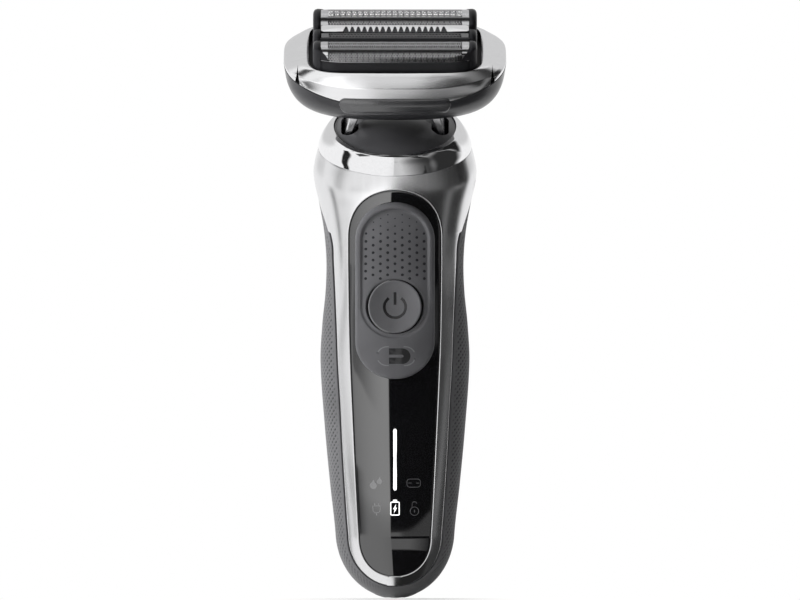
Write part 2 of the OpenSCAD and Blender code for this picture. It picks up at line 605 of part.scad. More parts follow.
module side_box(s, x, v, w) box(s > 0 ? x : [-x[1], -x[0]], v, w);
module neck_yoke() color("silver") head_frame() difference() {
    union() {
        box([-arm_x[1], arm_x[1]], [-4.4, 4.4], bar_h);
        rotate([-90, 0, 0]) translate([0, -roll_w, -5.8]) cylinder(r = 2.4, h = 11.6);
        for (s = [-1, 1]) {
            hull() {
                side_box(s, arm_x, [-4.4, 4.4], bar_h);
                side_box(s, [eye_x[0], eye_x[1] + 0.6], [-arm_v, arm_v], [head_gap + 0.8, head_gap + 1.6]);
            }
            side_box(s, eye_x, [-3.2, 3.2], [head_gap + 1.4, axle_w]);
            translate([s > 0 ? eye_x[0] : -eye_x[1], 0, axle_w]) rotate([0, 90, 0])
                cylinder(r = 3.2, h = eye_x[1] - eye_x[0]);
        }
    }
    roll_bore();
    axle_bore();
}

// ---- Head ----
ear_t = 1.7;
ear_x = [eye_x[0] - gap - ear_t, eye_x[1] + 1.5];  // inner faces of the ears beside each eye
module head_axles() color("silver") head_frame() for (s = [-1, 1])
    translate([s > 0 ? ear_x[0] : -ear_x[1] - ear_t, 0, axle_w]) rotate([0, 90, 0])
        cylinder(r = axle_r, h = ear_x[1] + ear_t - ear_x[0]);
floor_w = head_gap + head_wall + seat;
slot_v = arm_v + (axle_w - head_gap) * tan(pitch_deg) + 2 * gap;   // half length of the arms' slots
foot_t = 1.2;
bar_v = [slot_v + 0.2, slot_v + 1.4];   // cross bars between the feet
module head_bracket() color("lightgray") head_frame() difference() {
    union() {
        for (s = [-1, 1]) for (x = ear_x) {
            side_box(s, [x, x + ear_t], [-slot_v - 0.8, slot_v + 0.8], [floor_w, floor_w + foot_t]);
            side_box(s, [x, x + ear_t], [-3, 3], [floor_w, axle_w + axle_r + 1.1]);
        }
        for (s = [-1, 1]) box([-ear_x[1] - 0.6, ear_x[1] + 0.6],
            s > 0 ? bar_v : [-bar_v[1], -bar_v[0]], [floor_w, floor_w + foot_t]);
    }
    axle_bore();
}

// Share of the climb of the seam between head base and cassette frame, 0 in front and 1 at the ends
function climb(x) = pow(max(0, abs(x) - 12) / (head_w/2 - 12), 1.4);
seam_rise = 5;
// Loop round the head whose height goes from low in front and behind to high at the ends
function head_loop(a, b, n, low, high) = [for (p = oval(a, b, 0, n, 5.625))
    [p[0], p[1], lerp(low, high, climb(p[0] * head_w/2 / a))]];
hw = head_w / 2;
hd = head_d / 2;
// Head base from its underside to the seam: narrower by x, shallower by v, squareness, height,
// share of the rise
base_rows = [[12, 8.2, 2.7, head_gap, 0], [8.5, 6.3, 2.8, head_gap + 0.8, 0],
    [4.9, 3.9, 2.9, head_gap + 2.4, 0.05], [2.3, 1.8, 3, head_gap + 4.6, 0.2],
    [0.7, 0.5, 3.1, head_gap + 7, 0.5], [0, 0, 3.2, seam_w, 1]];
arm_slot = [eye_x[0] - gap, eye_x[1] + 1.1];
button_v = 5;        // half depth of the side buttons
button_h = [head_gap + 5.4, head_gap + 10.4];
button_in = hw - 3.4;  // inner faces of the side buttons
release_in = 1.2;      // travel of the side buttons
module head_base() color([0.2, 0.2, 0.21]) head_frame() difference() {
    t = head_wall;
    inside = [for (r = base_rows) [r[0] + t, r[1] + t, r[2], max(r[3], head_gap + t), r[4]]];
    loft([for (r = concat(base_rows, reversed_list([for (k = [1:5]) inside[k]])))
        head_loop(hw - r[0], hd - r[1], r[2], r[3], r[3] + r[4] * seam_rise)]);
    for (s = [-1, 1]) {
        side_box(s, arm_slot, [-slot_v, slot_v], [0, head_gap + 4]);
        side_box(s, [hw - 6, hw + 4], [-button_v - gap, button_v + gap],
            [button_h[0] - gap, button_h[1] + gap]);
    }
}

// Tab over the front seam; its sides slope in towards the bottom
// Half width and drop below the seam of each row
tab_rows = [[12.4, 3.2], [13.6, 2.6], [14.4, 1.6], [14.8, 0], [14.7, -1], [14, -1.6]];
tab_cols = [-1, -0.97, -0.66, -0.33, 0, 0.33, 0.66, 0.97, 1];
function tab_point(r, c, out) =
    let(x = tab_rows[r][0] * tab_cols[c], w = seam_w - tab_rows[r][1],
        v = w > seam_w ? hd : curve([for (r = base_rows) [r[3], hd - r[1]]], w))
    [x, -(v + out) * pow(1 - pow(abs(x) / hw, 3.1), 1 / 3.1), w];
function tab_edge(r, c) = r == 0 || r == len(tab_rows) - 1 || c == 0 || c == len(tab_cols) - 1 ? 0.25 : 0;
module front_tab() color([0.08, 0.08, 0.09]) head_frame()
    patch([for (r = [0:len(tab_rows) - 1]) [for (c = [0:8]) tab_point(r, c, 1 - tab_edge(r, c))]],
        [for (r = [0:len(tab_rows) - 1]) [for (c = [0:8]) tab_point(r, c, r < 3 ? 0.12 : 0.35)]]);

// ---- Drive ----
deck_w = seam_w + 4;               // top of the deck that closes the drive
plate_w = [deck_w - 3, deck_w - 1.8];
plate_x = hw - 18;                 // half length of the armature plate
magnet = [4.8, 5, 1];              // half length, half width and thickness of its magnet
pin_top = deck_w + 4.4;
drive_pin_r = 0.9;
module drive_stator() color("peru") head_frame()
    box([-ear_x[0] + 0.4, ear_x[0] - 0.4], [-bar_v[0] + seat, bar_v[0] - seat],
        [floor_w, plate_w[0] - 1.3]);
module drive_armature() color("silver") head_frame() {
    box([-plate_x, plate_x], [-foil_pitch - 1.1, foil_pitch + 1.1], plate_w);
    box([-magnet[0], magnet[0]], [-magnet[1], magnet[1]], [plate_w[0] - magnet[2], plate_w[0]]);
    for (v = [-foil_pitch, 0, foil_pitch]) translate([0, v, plate_w[0]])
        cylinder(r = drive_pin_r, h = pin_top - plate_w[0]);
}
// Lip of the cassette: height, half length and half width, and squareness
lip_w = 24.3;
lip = [holder_len/2 + 1.1, foil_pitch + holder_w/2 + 0.6];
lip_n = 6;
deck_x = lip[0] + 1.7;
deck_v = 14.2;
module drive_deck() color([0.12, 0.12, 0.13]) head_frame() difference() {
    n = 3.4;
    loft([oval(deck_x, deck_v, deck_w - 6, n, 5.625), oval(deck_x, deck_v, deck_w - 0.6, n, 5.625),
        oval(deck_x - 0.6, deck_v - 0.6, deck_w, n, 5.625)]);
    box([-deck_x + 5, deck_x - 5], [-deck_v + 2.8, deck_v - 2.8], [0, deck_w - 1.2]);
    for (v = [-foil_pitch, 0, foil_pitch])
        box([-drive_pin_r - stroke - gap, drive_pin_r + stroke + gap],
            [v - drive_pin_r - gap, v + drive_pin_r + gap], [0, far]);
    for (s = [-1, 1]) side_box(s, [button_in - release_in - gap, far],
        [-button_v - gap, button_v + gap], [button_h[0] - gap, button_h[1] + gap]);
}

function end_x(w) = curve([for (r = base_rows) [r[3] + r[4] * seam_rise, hw - r[0]]], w) + 0.12;
module release_button(s) color([0.28, 0.28, 0.29]) head_frame() hull() {
    low = button_h[0];
    high = button_h[1];
    side_box(s, [button_in, end_x(low) - 0.5], [-button_v, button_v], [low, low + 0.2]);
    side_box(s, [button_in, end_x(low + 1)], [-button_v + 0.8, button_v - 0.8], [low + 0.8, low + 1]);
    side_box(s, [button_in, end_x(high - 1)], [-button_v + 0.8, button_v - 0.8], [high - 1, high - 0.8]);
    side_box(s, [button_in, end_x(high) - 0.5], [-button_v, button_v], [high - 0.2, high]);
}
module release_button_left() release_button(-1);
module release_button_right() release_button(1);

// ---- Cassette ----
seam_end = seam_w + seam_rise;
module cassette_frame() color("silver") head_frame() difference() {
    ring([
        head_loop(hw, hd, 3.2, seam_w + seat, seam_end + seat),
        head_loop(hw, hd - 0.1, 3.2, seam_w + 1.6, seam_end + 0.7),
        head_loop(hw - 0.15, hd - 0.3, 3.25, seam_w + 3.2, seam_end + 1.5),
        head_loop(hw - 0.8, hd - 0.6, 3.35, seam_w + 4.4, seam_end + 2.3),
        head_loop(hw - 2.2, hd - 1, 3.5, seam_w + 5, seam_end + 2.8),
        head_loop(lip[0] + 2.6, lip[1] + 1.6, lip_n - 1.8, lip_w - 1.4, lip_w - 0.2),
        head_loop(lip[0] + 0.8, lip[1] + 0.5, lip_n - 0.8, lip_w, lip_w),
        head_loop(lip[0], lip[1], lip_n, lip_w - 0.15, lip_w - 0.15),
        head_loop(lip[0], lip[1], lip_n, lip_w - 1.1, lip_w - 1.1),
        head_loop(lip[0] + 1.6, lip[1] + 0.8, lip_n - 0.8, lip_w - 2.2, lip_w - 1.6),
        head_loop(lip[0] + 3, lip[1] + 1.3, lip_n - 1.6, seam_w + 4, seam_end + 1.2),
        head_loop(hw - head_wall, hd - head_wall, 3.2, seam_w + seat, seam_end + seat)]);
    for (s = [-1, 1]) translate([0, -1.5, 0]) rotate([90, 0, 0]) linear_extrude(20)
        polygon([for (p = [[2.8, lip_w - 0.9], [2.1, seam_w], [4.3, seam_w]]) [s * (lip[0] + p[0]), p[1]]]);
}

tray_w = deck_w + gap;
window_x = foil_len / 2 - 1;
// Upright space inside the cassette's lip, less a gap all round
module lip_space(inset) linear_extrude(far)
    polygon([for (p = oval(lip[0] - inset, lip[1] - inset, 0, lip_n, 5.625)) [p[0], p[1]]]);
module cassette_tray() color([0.07, 0.07, 0.08]) head_frame() difference() {
    loft([oval(lip[0] + 1.8, lip[1] + 1.2, tray_w, lip_n - 1.6, 5.625),
        oval(lip[0] + 1.2, lip[1] + 0.7, lip_w - 2.3, lip_n - 1, 5.625),
        oval(lip[0] + 0.5, lip[1] + 0.3, lip_w - 1.8, lip_n - 0.6, 5.625)]);
    intersection() {
        lip_space(0);
        union() {
            box([-far, far], [-far, far], [tray_w + 0.7, far]);
            for (v = [-foil_pitch, foil_pitch]) box([-window_x, window_x],
                v > 0 ? [v - holder_w/2 - gap, far] : [-far, v + holder_w/2 + gap], [0, far]);
            box([-window_x, window_x], [-trimmer_w/2 - gap, trimmer_w/2 + gap], [0, far]);
        }
    }
}

spring_x = foil_len / 2 + 0.5;
spring_r = 1;
pocket_w = 26.2;
foil_w = 25.5;       // height of the foils' centre line
foil_turn = 54;      // angle from a foil's crest to its edges
holder_low = tray_w + 0.1 + float_travel;   // undersides of the floating holders
module float_springs() color("silver") head_frame()
    for (v = [-foil_pitch, 0, foil_pitch]) for (s = [-1, 1])
        translate([s * spring_x, v, tray_w + 0.7]) difference() {
            cylinder(r = spring_r, h = pocket_w - tray_w - 0.8);
            translate([0, 0, -1]) cylinder(r = spring_r - 0.3, h = 10);
        }

holder_wall = 0.6;
cutter_x = foil_len / 2 - 3.2;
cutter_v = holder_w/2 - 1.3;     // half width of the cutters
cavity_x = cutter_x + stroke + gap;
module spring_pockets(v) for (s = [-1, 1]) translate([s * spring_x, v, 0])
    cylinder(r = spring_r + gap, h = pocket_w);
cap_r = 1.4;
// Rounded end of a floating unit, thickness t outwards from x
module end_cap(s, x, r, t) translate([s * x, 0, 0]) rotate([0, s * 90, 0]) rotate_extrude()
    polygon(concat([[0, 0], [r, 0]],
        [for (a = [0:18:90]) [r - cap_r + cap_r * cos(a), t - cap_r + cap_r * sin(a)]], [[0, t]]));

module foil_holder(v) color([0.09, 0.09, 0.1]) head_frame() {
    half = holder_w / 2;
    top = foil_w + (foil_r - 0.15) * cos(foil_turn);
    difference() {
        intersection() {
            lip_space(gap);
            union() {
                box([-holder_len/2, holder_len/2], [v - half, v + half], [holder_low + 0.8, top - 0.02]);
                box([-window_x + gap, window_x - gap], [v - half, v + half], [holder_low, holder_low + 1]);
                intersection() {
                    for (s = [-1, 1]) translate([0, v, foil_w])
                        end_cap(s, foil_len/2, foil_r + 0.2, (holder_len - foil_len) / 2);
                    box([-far, far], [v - half, v + half], [foil_w, far]);
                }
            }
        }
        intersection() {
            lip_space(gap + holder_wall);
            union() {
                box([-cavity_x, cavity_x], [v - half + holder_wall, v + half - holder_wall], [0, far]);
                box([-foil_len/2, foil_len/2], [v - half + holder_wall, v + half - holder_wall],
                    [pocket_w + 0.6, far]);
            }
        }
        spring_pockets(v);
    }
}
module front_foil_holder() foil_holder(-foil_pitch);
module rear_foil_holder() foil_holder(foil_pitch);

module foil(v) color("silver") head_frame() intersection() {
    lip_space(gap);
    translate([-foil_len/2 + 0.02, v, foil_w])
        rotate([90, 0, 90]) linear_extrude(foil_len - 0.04) intersection() {
            difference() {
                circle(foil_r, $fn = 96);
                circle(foil_r - 0.15, $fn = 96);
            }
            polygon([[0, 0], [-8 * tan(foil_turn), 8], [8 * tan(foil_turn), 8]]);
        }
}
module front_foil() foil(-foil_pitch);
module rear_foil() foil(foil_pitch);

carrier_w = [tray_w + float_travel + 0.5, foil_w + 0.9];
module pin_slot(v) box([-drive_pin_r - fit, drive_pin_r + fit], [v - 1.5, v + 1.5],
    [0, pin_top + float_travel + gap]);
module cutter_carrier(v) color("gray") head_frame() difference() {
    box([-cutter_x, cutter_x], [v - cutter_v, v + cutter_v], carrier_w);
    pin_slot(v);
}
module front_cutter_carrier() cutter_carrier(-foil_pitch);
module rear_cutter_carrier() cutter_carrier(foil_pitch);

blade_t = 0.45;
module cutter_blades(v) color("silver") head_frame() for (k = [0:blades - 1])
    translate([lerp(-cutter_x + 0.2, cutter_x - 0.2 - blade_t, k / (blades - 1)), v, foil_w])
        rotate([90, 0, 90]) linear_extrude(blade_t) difference() {
            intersection() {
                circle(foil_r - 0.22);
                translate([-cutter_v, 0.9]) square([2 * cutter_v, 6]);
            }
            translate([0, 0.4]) circle(cutter_v - 0.7);
        }
module front_cutter_blades() cutter_blades(-foil_pitch);
module rear_cutter_blades() cutter_blades(foil_pitch);

// ---- Trimmer ----
comb_w = 29.1;
comb_v = [-0.2, 3.4];
comb_x = foil_len / 2 - 0.1;
tooth_span = 28;
module trimmer_holder() color([0.09, 0.09, 0.1]) head_frame() {
    half = trimmer_w / 2;
    difference() {
        union() {
            box([-holder_len/2, holder_len/2], [-half, half], [holder_low + 0.8, comb_w - 0.9]);
            box([-window_x + gap, window_x - gap], [-half, half], [holder_low, holder_low + 1]);
            box([-holder_len/2 + 1, holder_len/2 - 1], [half - 0.7, half], [comb_w - 1, comb_w]);
            intersection() {
                for (s = [-1, 1]) translate([0, 0, foil_w - 0.2])
                    end_cap(s, foil_len/2, 4.4, (holder_len - foil_len) / 2);
                box([-far, far], [-half, half], [foil_w, far]);
            }
        }
        box([-cavity_x, cavity_x], [-half + 0.7, half - 0.7], [0, far]);
        box([-foil_len/2, foil_len/2], [-half + 0.7, half - 0.7], [pocket_w + 0.6, far]);
        spring_pockets(0);
    }
}
module teeth(from, count, pitch, width, depth, t) for (k = [0:count - 1])
    translate([from + k * pitch, 0, 0]) linear_extrude(t)
        polygon([[-width/2, -1], [width/2, -1], [width/2 - 0.25, depth], [-width/2 + 0.25, depth]]);
module trimmer_comb() color("gainsboro") head_frame() difference() {
    pitch = tooth_span / comb_teeth;
    box([-comb_x, comb_x], comb_v, [comb_w, comb_w + 0.4]);
    translate([0, comb_v[0], comb_w - 1]) teeth(-tooth_span/2 + pitch/2, comb_teeth, pitch, 0.95, 2.5, 3);
}
module trimmer_guard() color("gray") head_frame() {
    half = trimmer_w / 2;
    hull() {
        box([-comb_x, comb_x], [-half + 0.1, -half + 0.3], [comb_w - 0.88, comb_w - 0.68]);
        box([-comb_x, comb_x], [comb_v[0] - 0.4, comb_v[0] - 0.2], [comb_w + 0.1, comb_w + 0.3]);
    }
}
module trimmer_blade() color("silver") head_frame() {
    pitch = tooth_span / comb_teeth;
    top = comb_w - 0.07;
    difference() {
        box([-cutter_x, cutter_x], [0.1, trimmer_w/2 - 1], [top - 0.4, top]);
        translate([0, 0, top - 1]) teeth(-tooth_span/2, comb_teeth + 1, pitch, 0.85, 1.6, 3);
    }
    difference() {
        box([-6, 6], [-1.9, trimmer_w/2 - 1], [carrier_w[0], top - 0.4]);
        box([-far, far], [-far, 0.1], [pocket_w + 1.4, far]);
        pin_slot(0);
    }
}

front_frame();
rear_grip();
display_panel();
light_bar();
inner_chassis();
battery_cell();
battery_contacts();
main_board();
board_screws();
tact_switch();
display_leds();
slider_guide();
charging_socket();
socket_pins();
socket_seal();
station_contacts();
module_contacts();
lock_slider();
slider_catch();
power_button();
head_release_button();
collar_ring();
neck_base();
neck_dome();
roll_pin();
neck_yoke();
head_axles();
head_bracket();
head_base();
front_tab();
drive_stator();
drive_deck();
drive_armature();
release_button_left();
release_button_right();
cassette_frame();
cassette_tray();
float_springs();
front_foil_holder();
front_foil();
front_cutter_carrier();
front_cutter_blades();
rear_foil_holder();
rear_foil();
rear_cutter_carrier();
rear_cutter_blades();
trimmer_holder();
trimmer_comb();
trimmer_guard();
trimmer_blade();
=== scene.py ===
"""Dressed model of a cordless foil shaver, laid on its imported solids.

Every piece is built in millimetres on the same surfaces as the solids, and placed in metres.
"""
import json
import math
from contextlib import contextmanager

import bmesh
import bpy
import numpy as np
from bpy.props import FloatProperty, FloatVectorProperty, IntProperty, PointerProperty
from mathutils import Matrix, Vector


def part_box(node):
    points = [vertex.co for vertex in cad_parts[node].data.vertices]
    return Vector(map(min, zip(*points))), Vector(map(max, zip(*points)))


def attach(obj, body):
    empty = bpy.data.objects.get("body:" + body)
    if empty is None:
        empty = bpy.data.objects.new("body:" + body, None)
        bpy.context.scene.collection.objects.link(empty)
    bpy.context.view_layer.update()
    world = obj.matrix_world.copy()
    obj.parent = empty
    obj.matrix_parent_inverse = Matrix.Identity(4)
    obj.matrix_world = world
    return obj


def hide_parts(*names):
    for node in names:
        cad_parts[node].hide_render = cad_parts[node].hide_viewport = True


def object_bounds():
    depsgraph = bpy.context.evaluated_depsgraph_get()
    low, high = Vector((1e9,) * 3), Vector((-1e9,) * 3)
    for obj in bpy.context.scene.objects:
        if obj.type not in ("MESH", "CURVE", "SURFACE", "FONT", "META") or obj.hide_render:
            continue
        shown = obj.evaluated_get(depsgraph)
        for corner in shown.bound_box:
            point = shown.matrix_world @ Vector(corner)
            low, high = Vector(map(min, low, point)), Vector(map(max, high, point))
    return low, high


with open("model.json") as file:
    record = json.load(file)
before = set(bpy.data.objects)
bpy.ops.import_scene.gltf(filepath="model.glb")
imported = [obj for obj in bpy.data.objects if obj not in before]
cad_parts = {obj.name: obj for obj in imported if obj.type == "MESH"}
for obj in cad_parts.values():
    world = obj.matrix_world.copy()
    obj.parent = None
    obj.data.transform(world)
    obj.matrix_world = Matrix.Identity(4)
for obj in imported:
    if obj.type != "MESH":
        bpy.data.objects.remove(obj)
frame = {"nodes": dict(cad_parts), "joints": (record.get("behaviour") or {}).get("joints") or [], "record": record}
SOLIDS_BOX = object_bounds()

bl_info = {
    "name": "Foil Shaver",
    "version": (1, 0, 0),
    "blender": (4, 5, 0),
    "location": "View3D > Sidebar > Shaver",
    "description": "Builds the shaver's handle, panel, head and foils on the packed solids",
    "category": "Add Mesh",
}

MM = 0.001
GAP = 0.06            # half of the fine seam between two shells, in millimetres
CLEAR = 0.3           # between pieces that move past each other
JOINTS = {j["name"]: j for j in frame["joints"]}


def box_mm(node):
    """Two corners of a solid's box, in millimetres."""
    return [np.array(c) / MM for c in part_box(node)]


# ---- Surfaces shared with the solids, in millimetres ----

def lerp(a, b, t):
    """Value a share t of the way from a to b."""
    return a + (b - a) * t


def signed_power(v, e):
    """Power that keeps the sign."""
    return np.sign(v) * np.abs(v) ** e


def hermite(table, s):
    """Smooth curve through a list of (place, value) stations."""
    s = np.asarray(s, float)
    x = np.array([p[0] for p in table], float)
    y = np.array([p[1] for p in table], float)
    last = len(x) - 1
    lo = np.maximum(np.arange(last + 1) - 1, 0)
    hi = np.minimum(np.arange(last + 1) + 1, last)
    m = (y[hi] - y[lo]) / (x[hi] - x[lo])
    i = np.clip(np.searchsorted(x, s, side="right") - 1, 0, last - 1)
    d = x[i + 1] - x[i]
    t = np.clip((s - x[i]) / d, 0, 1)
    return ((2 * t**3 - 3 * t**2 + 1) * y[i] + (t**3 - 2 * t**2 + t) * m[i] * d
            + (3 * t**2 - 2 * t**3) * y[i + 1] + (t**3 - t**2) * m[i + 1] * d)


# sizes as the solids have them: the handle's height, its widths, depths from the axis, the collar,
# the lower ends of the frame and the panel, and the round top of the panel
HANDLE, FOOT_W, GRIP_W, WAIST_W, SHOULDER_W = 114.2, 32.2, 40.4, 37.2, 44.2
FOOT_H, FRONT_D, SWELL_D, WAIST_D = 17.0, 13.3, 16.5, 14.2
COLLAR_W, COLLAR_D, COLLAR_H, TILT = 41.6, 32.4, 6.6, 18.6
FRAME_BASE, PANEL_BASE, PANEL_R, PANEL_DROP = 3.1, 6.0, 12.5, 4.1
ARC_Z = HANDLE - PANEL_DROP - PANEL_R
HANDLE_SQUARE, COLLAR_SQUARE = 2.4, 2.0     # power of the section's oval: 2 is an ellipse
PANEL_SQUARE = 2.2                          # the same for the panel's lower end
ARC_SHARE = math.sin(math.radians(45))      # the panel's side ends 45 degrees round its top arc

LIFT = np.array(JOINTS["head_lift"]["axis"], float)      # the head's own upward axis
LEAN = math.degrees(math.atan2(-LIFT[1], LIFT[2]))
FORE = np.array([0, LIFT[2], -LIFT[1]])                  # from the head's front to its back
AXLE_W = 13.5
MOUTH = np.array(JOINTS["head_pitch"]["pos_m"], float) / MM - AXLE_W * LIFT
CROWN = HANDLE + COLLAR_D / 2 * math.sin(math.radians(LEAN))

# lines along the handle as (height, value): half width, depth in front, depth behind, half width of
# the panel, half width of the silver frame, and the degrees to which that frame turns at the shoulder
WIDTH_LINE = [
    (0, FOOT_W/2 - 0.6), (FOOT_H, FOOT_W/2), (0.27*HANDLE, lerp(FOOT_W, GRIP_W, 0.36)/2),
    (0.4*HANDLE, lerp(FOOT_W, GRIP_W, 0.7)/2), (0.56*HANDLE, GRIP_W/2),
    (0.65*HANDLE, lerp(WAIST_W, GRIP_W, 0.7)/2), (0.73*HANDLE, lerp(WAIST_W, GRIP_W, 0.14)/2),
    (0.8*HANDLE, WAIST_W/2), (CROWN - 23, lerp(WAIST_W, SHOULDER_W, 0.17)/2),
    (CROWN - 15.5, lerp(WAIST_W, SHOULDER_W, 0.53)/2), (CROWN - 6.8, SHOULDER_W/2), (CROWN, COLLAR_W/2)]
FRONT_LINE = [
    (0, FRONT_D - 1.6), (FOOT_H, FRONT_D - 0.8), (0.35*HANDLE, FRONT_D), (0.84*HANDLE, FRONT_D),
    (CROWN - 14, lerp(FRONT_D, COLLAR_D/2, 0.32)), (CROWN - 6, lerp(FRONT_D, COLLAR_D/2, 0.72)),
    (CROWN, COLLAR_D/2)]
BACK_LINE = [
    (0, FRONT_D - 1.6), (FOOT_H, FRONT_D - 0.8), (0.35*HANDLE, lerp(FRONT_D, SWELL_D, 0.5)),
    (0.57*HANDLE, SWELL_D), (0.8*HANDLE, WAIST_D), (CROWN - 14, WAIST_D + 0.6),
    (CROWN - 6, lerp(WAIST_D, COLLAR_D/2, 0.7)), (CROWN, COLLAR_D/2)]
PANEL_LINE = [(FOOT_H, PANEL_R - 2.8), (0.19*HANDLE, PANEL_R - 2.5), (0.36*HANDLE, PANEL_R - 1.55),
              (0.6*HANDLE, PANEL_R - 0.4), (ARC_Z - 8, PANEL_R), (ARC_Z, PANEL_R)]
EDGE_LINE = [(FOOT_H, FOOT_W/2 - 3.2), (0.19*HANDLE, FOOT_W/2 - 2.8), (0.34*HANDLE, GRIP_W/2 - 5.8),
             (0.45*HANDLE, GRIP_W/2 - 5.2), (0.555*HANDLE, GRIP_W/2 - 4.5), (0.65*HANDLE, GRIP_W/2 - 4.1),
             (0.8*HANDLE, WAIST_W/2 - 1.7), (0.845*HANDLE, WAIST_W/2 - 1.35), (0.9*HANDLE, WAIST_W/2 + 0.9)]
EDGE_TURN = [(ARC_Z + 1, 69), (ARC_Z + 4.3, 77), (ARC_Z + 7.4, 89), (ARC_Z + 8.9, 98),
             (ARC_Z + 9.8, 108), (ARC_Z + 10.9, 128)]
ARC_HIGH = PANEL_R * ARC_SHARE
GRIP_TOP = lerp(ARC_Z + ARC_HIGH, HANDLE, 0.26)
FRAME_TIP = 2.0


def rise(f):
    """Share of the way from the level sections to the leaning collar."""
    return np.clip((f - HANDLE + TILT) / TILT, 0, 1)


def skin(f, a, t=0.0):
    """Point of the handle's surface at front height f and a degrees from the front, sunk t."""
    a = np.radians(np.asarray(a, float))
    f, a, t = np.broadcast_arrays(np.asarray(f, float), a, np.asarray(t, float))
    lean = np.radians(LEAN) * rise(f)
    z = f + COLLAR_D / 2 * np.sin(lean)
    n = lerp(HANDLE_SQUARE, COLLAR_SQUARE, rise(f))
    lift = np.maximum(f, np.minimum(t, FOOT_H))
    curl = np.where(lift >= FOOT_H, 1.0,
                    np.sqrt(np.maximum(0, 1 - ((FOOT_H - lift) / np.maximum(FOOT_H - t, 1e-6)) ** 2)))
    depth = np.where(np.cos(a) > 0, hermite(FRONT_LINE, z), hermite(BACK_LINE, z))
    x = (hermite(WIDTH_LINE, z) - t) * curl * signed_power(np.sin(a), 2 / n)
    y = -(depth - t) * curl * signed_power(np.cos(a), 2 / n)
    return np.stack([x, y * np.cos(lean), z + (lift - f) + y * np.sin(lean)], axis=-1)


def angle_of(x, f):
    """Degrees from the front at which the surface is x to the side."""
    x, f = np.broadcast_arrays(np.asarray(x, float), np.asarray(f, float))
    z = f + COLLAR_D / 2 * np.sin(np.radians(LEAN) * rise(f))
    curl = np.where(f >= FOOT_H, 1.0, np.sqrt(np.maximum(0.01, 1 - ((FOOT_H - f) / FOOT_H) ** 2)))
    share = np.minimum(1, np.abs(x) / (hermite(WIDTH_LINE, z) * curl))
    n = lerp(HANDLE_SQUARE, COLLAR_SQUARE, rise(f))
    return np.sign(x) * np.degrees(np.arcsin(share ** (n / 2)))


def beside(x, f, lift=0.0):
    """Point over the handle's front, x beside the middle at height f."""
    return skin(f, angle_of(x, f), -np.asarray(lift, float))


def on_back(x, z, lift=0.0):
    """Point over the handle's back, x beside the middle and z up, found by halving."""
    x, z = np.broadcast_arrays(np.asarray(x, float), np.asarray(z, float))
    low, high = np.zeros(x.shape), np.full(x.shape, HANDLE)
    for _ in range(40):
        f = (low + high) / 2
        under = skin(f, 180 - angle_of(x, f))[..., 2] < z
        low, high = np.where(under, f, low), np.where(under, high, f)
    return skin(low, 180 - angle_of(x, low), -np.asarray(lift, float))


def under_foot(x, y, lift=0.0):
    """Point under the rounded foot, x beside the middle and y to the back, lifted along the normal."""
    x, y = np.broadcast_arrays(np.asarray(x, float), np.asarray(y, float))
    n = HANDLE_SQUARE

    def height(x, y):
        f = np.full(x.shape, 5.0)
        for _ in range(12):
            share = (np.abs(x) / hermite(WIDTH_LINE, f)) ** n + (np.abs(y) / hermite(BACK_LINE, f)) ** n
            f = FOOT_H * (1 - np.sqrt(np.maximum(0, 1 - share ** (2 / n))))
        return f

    h, d = height(x, y), 0.05
    slope = np.stack([(height(x + d, y) - h) / d, (height(x, y + d) - h) / d, -np.ones(x.shape)], axis=-1)
    slope /= np.linalg.norm(slope, axis=-1, keepdims=True)
    return np.stack([x, y, h], axis=-1) + slope * np.asarray(lift, float)


def frame_x(f, grow=0.0):
    """Half width of the silver frame's outer edge at front height f."""
    f = np.asarray(f, float)
    base = FRAME_BASE - grow
    low = np.maximum(FRAME_TIP, (hermite(EDGE_LINE, FOOT_H) + grow)
                     * np.sqrt(np.maximum(0, 1 - ((FOOT_H - f) / (FOOT_H - base)) ** 2)))
    return np.where(f < FOOT_H, low, hermite(EDGE_LINE, f) + grow)


def frame_angle(f, grow=0.0):
    """Degrees from the front of the silver frame's outer edge, which turns to the back at the shoulder."""
    f = np.asarray(f, float)
    turn = hermite(EDGE_TURN, f) + grow * 2.6
    return np.where(f < ARC_Z + 1, angle_of(frame_x(f, grow), f), turn)


def panel_x(f, grow=0.0):
    """Half width of the panel at front height f."""
    f = np.asarray(f, float)
    base, r = PANEL_BASE - grow, PANEL_R + grow
    down = np.maximum(0, FOOT_H - f) / (FOOT_H - base)
    foot = np.maximum(FRAME_TIP - 0.2, (hermite(PANEL_LINE, FOOT_H) + grow)
                      * np.maximum(1e-9, 1 - down ** PANEL_SQUARE) ** (1 / PANEL_SQUARE))
    arc = np.maximum(r * ARC_SHARE, np.sqrt(np.maximum(0, r * r - (f - ARC_Z) ** 2)))
    return np.where(f < FOOT_H, foot, np.where(f <= ARC_Z, hermite(PANEL_LINE, f) + grow, arc))


def in_head(x, v, w):
    """Point of the head's frame: x to the right, v to the back and w up from the collar's mouth."""
    x, v, w = np.broadcast_arrays(np.asarray(x, float), np.asarray(v, float), np.asarray(w, float))
    return MOUTH + x[..., None] * np.array([1.0, 0, 0]) + v[..., None] * FORE + w[..., None] * LIFT


def oval(a, b, n=2.0, points=192):
    """Closed loop of an oval seen from above, squarer as n rises."""
    k = np.arange(points) * 2 * np.pi / points
    return a * signed_power(np.sin(k), 2 / n), -b * signed_power(np.cos(k), 2 / n)


# ---- Mesh building ----

def grid_faces(rows, cols, around=False, over=False):
    """Quads of a grid of points; around joins the last column to the first, over the last row."""
    r = np.arange(rows if over else rows - 1)[:, None]
    c = np.arange(cols if around else cols - 1)[None, :]
    up, right = (r + 1) % rows, (c + 1) % cols
    corners = [r * cols + c, r * cols + right, up * cols + right, up * cols + c]
    return np.stack(corners, axis=-1).reshape(-1, 4)


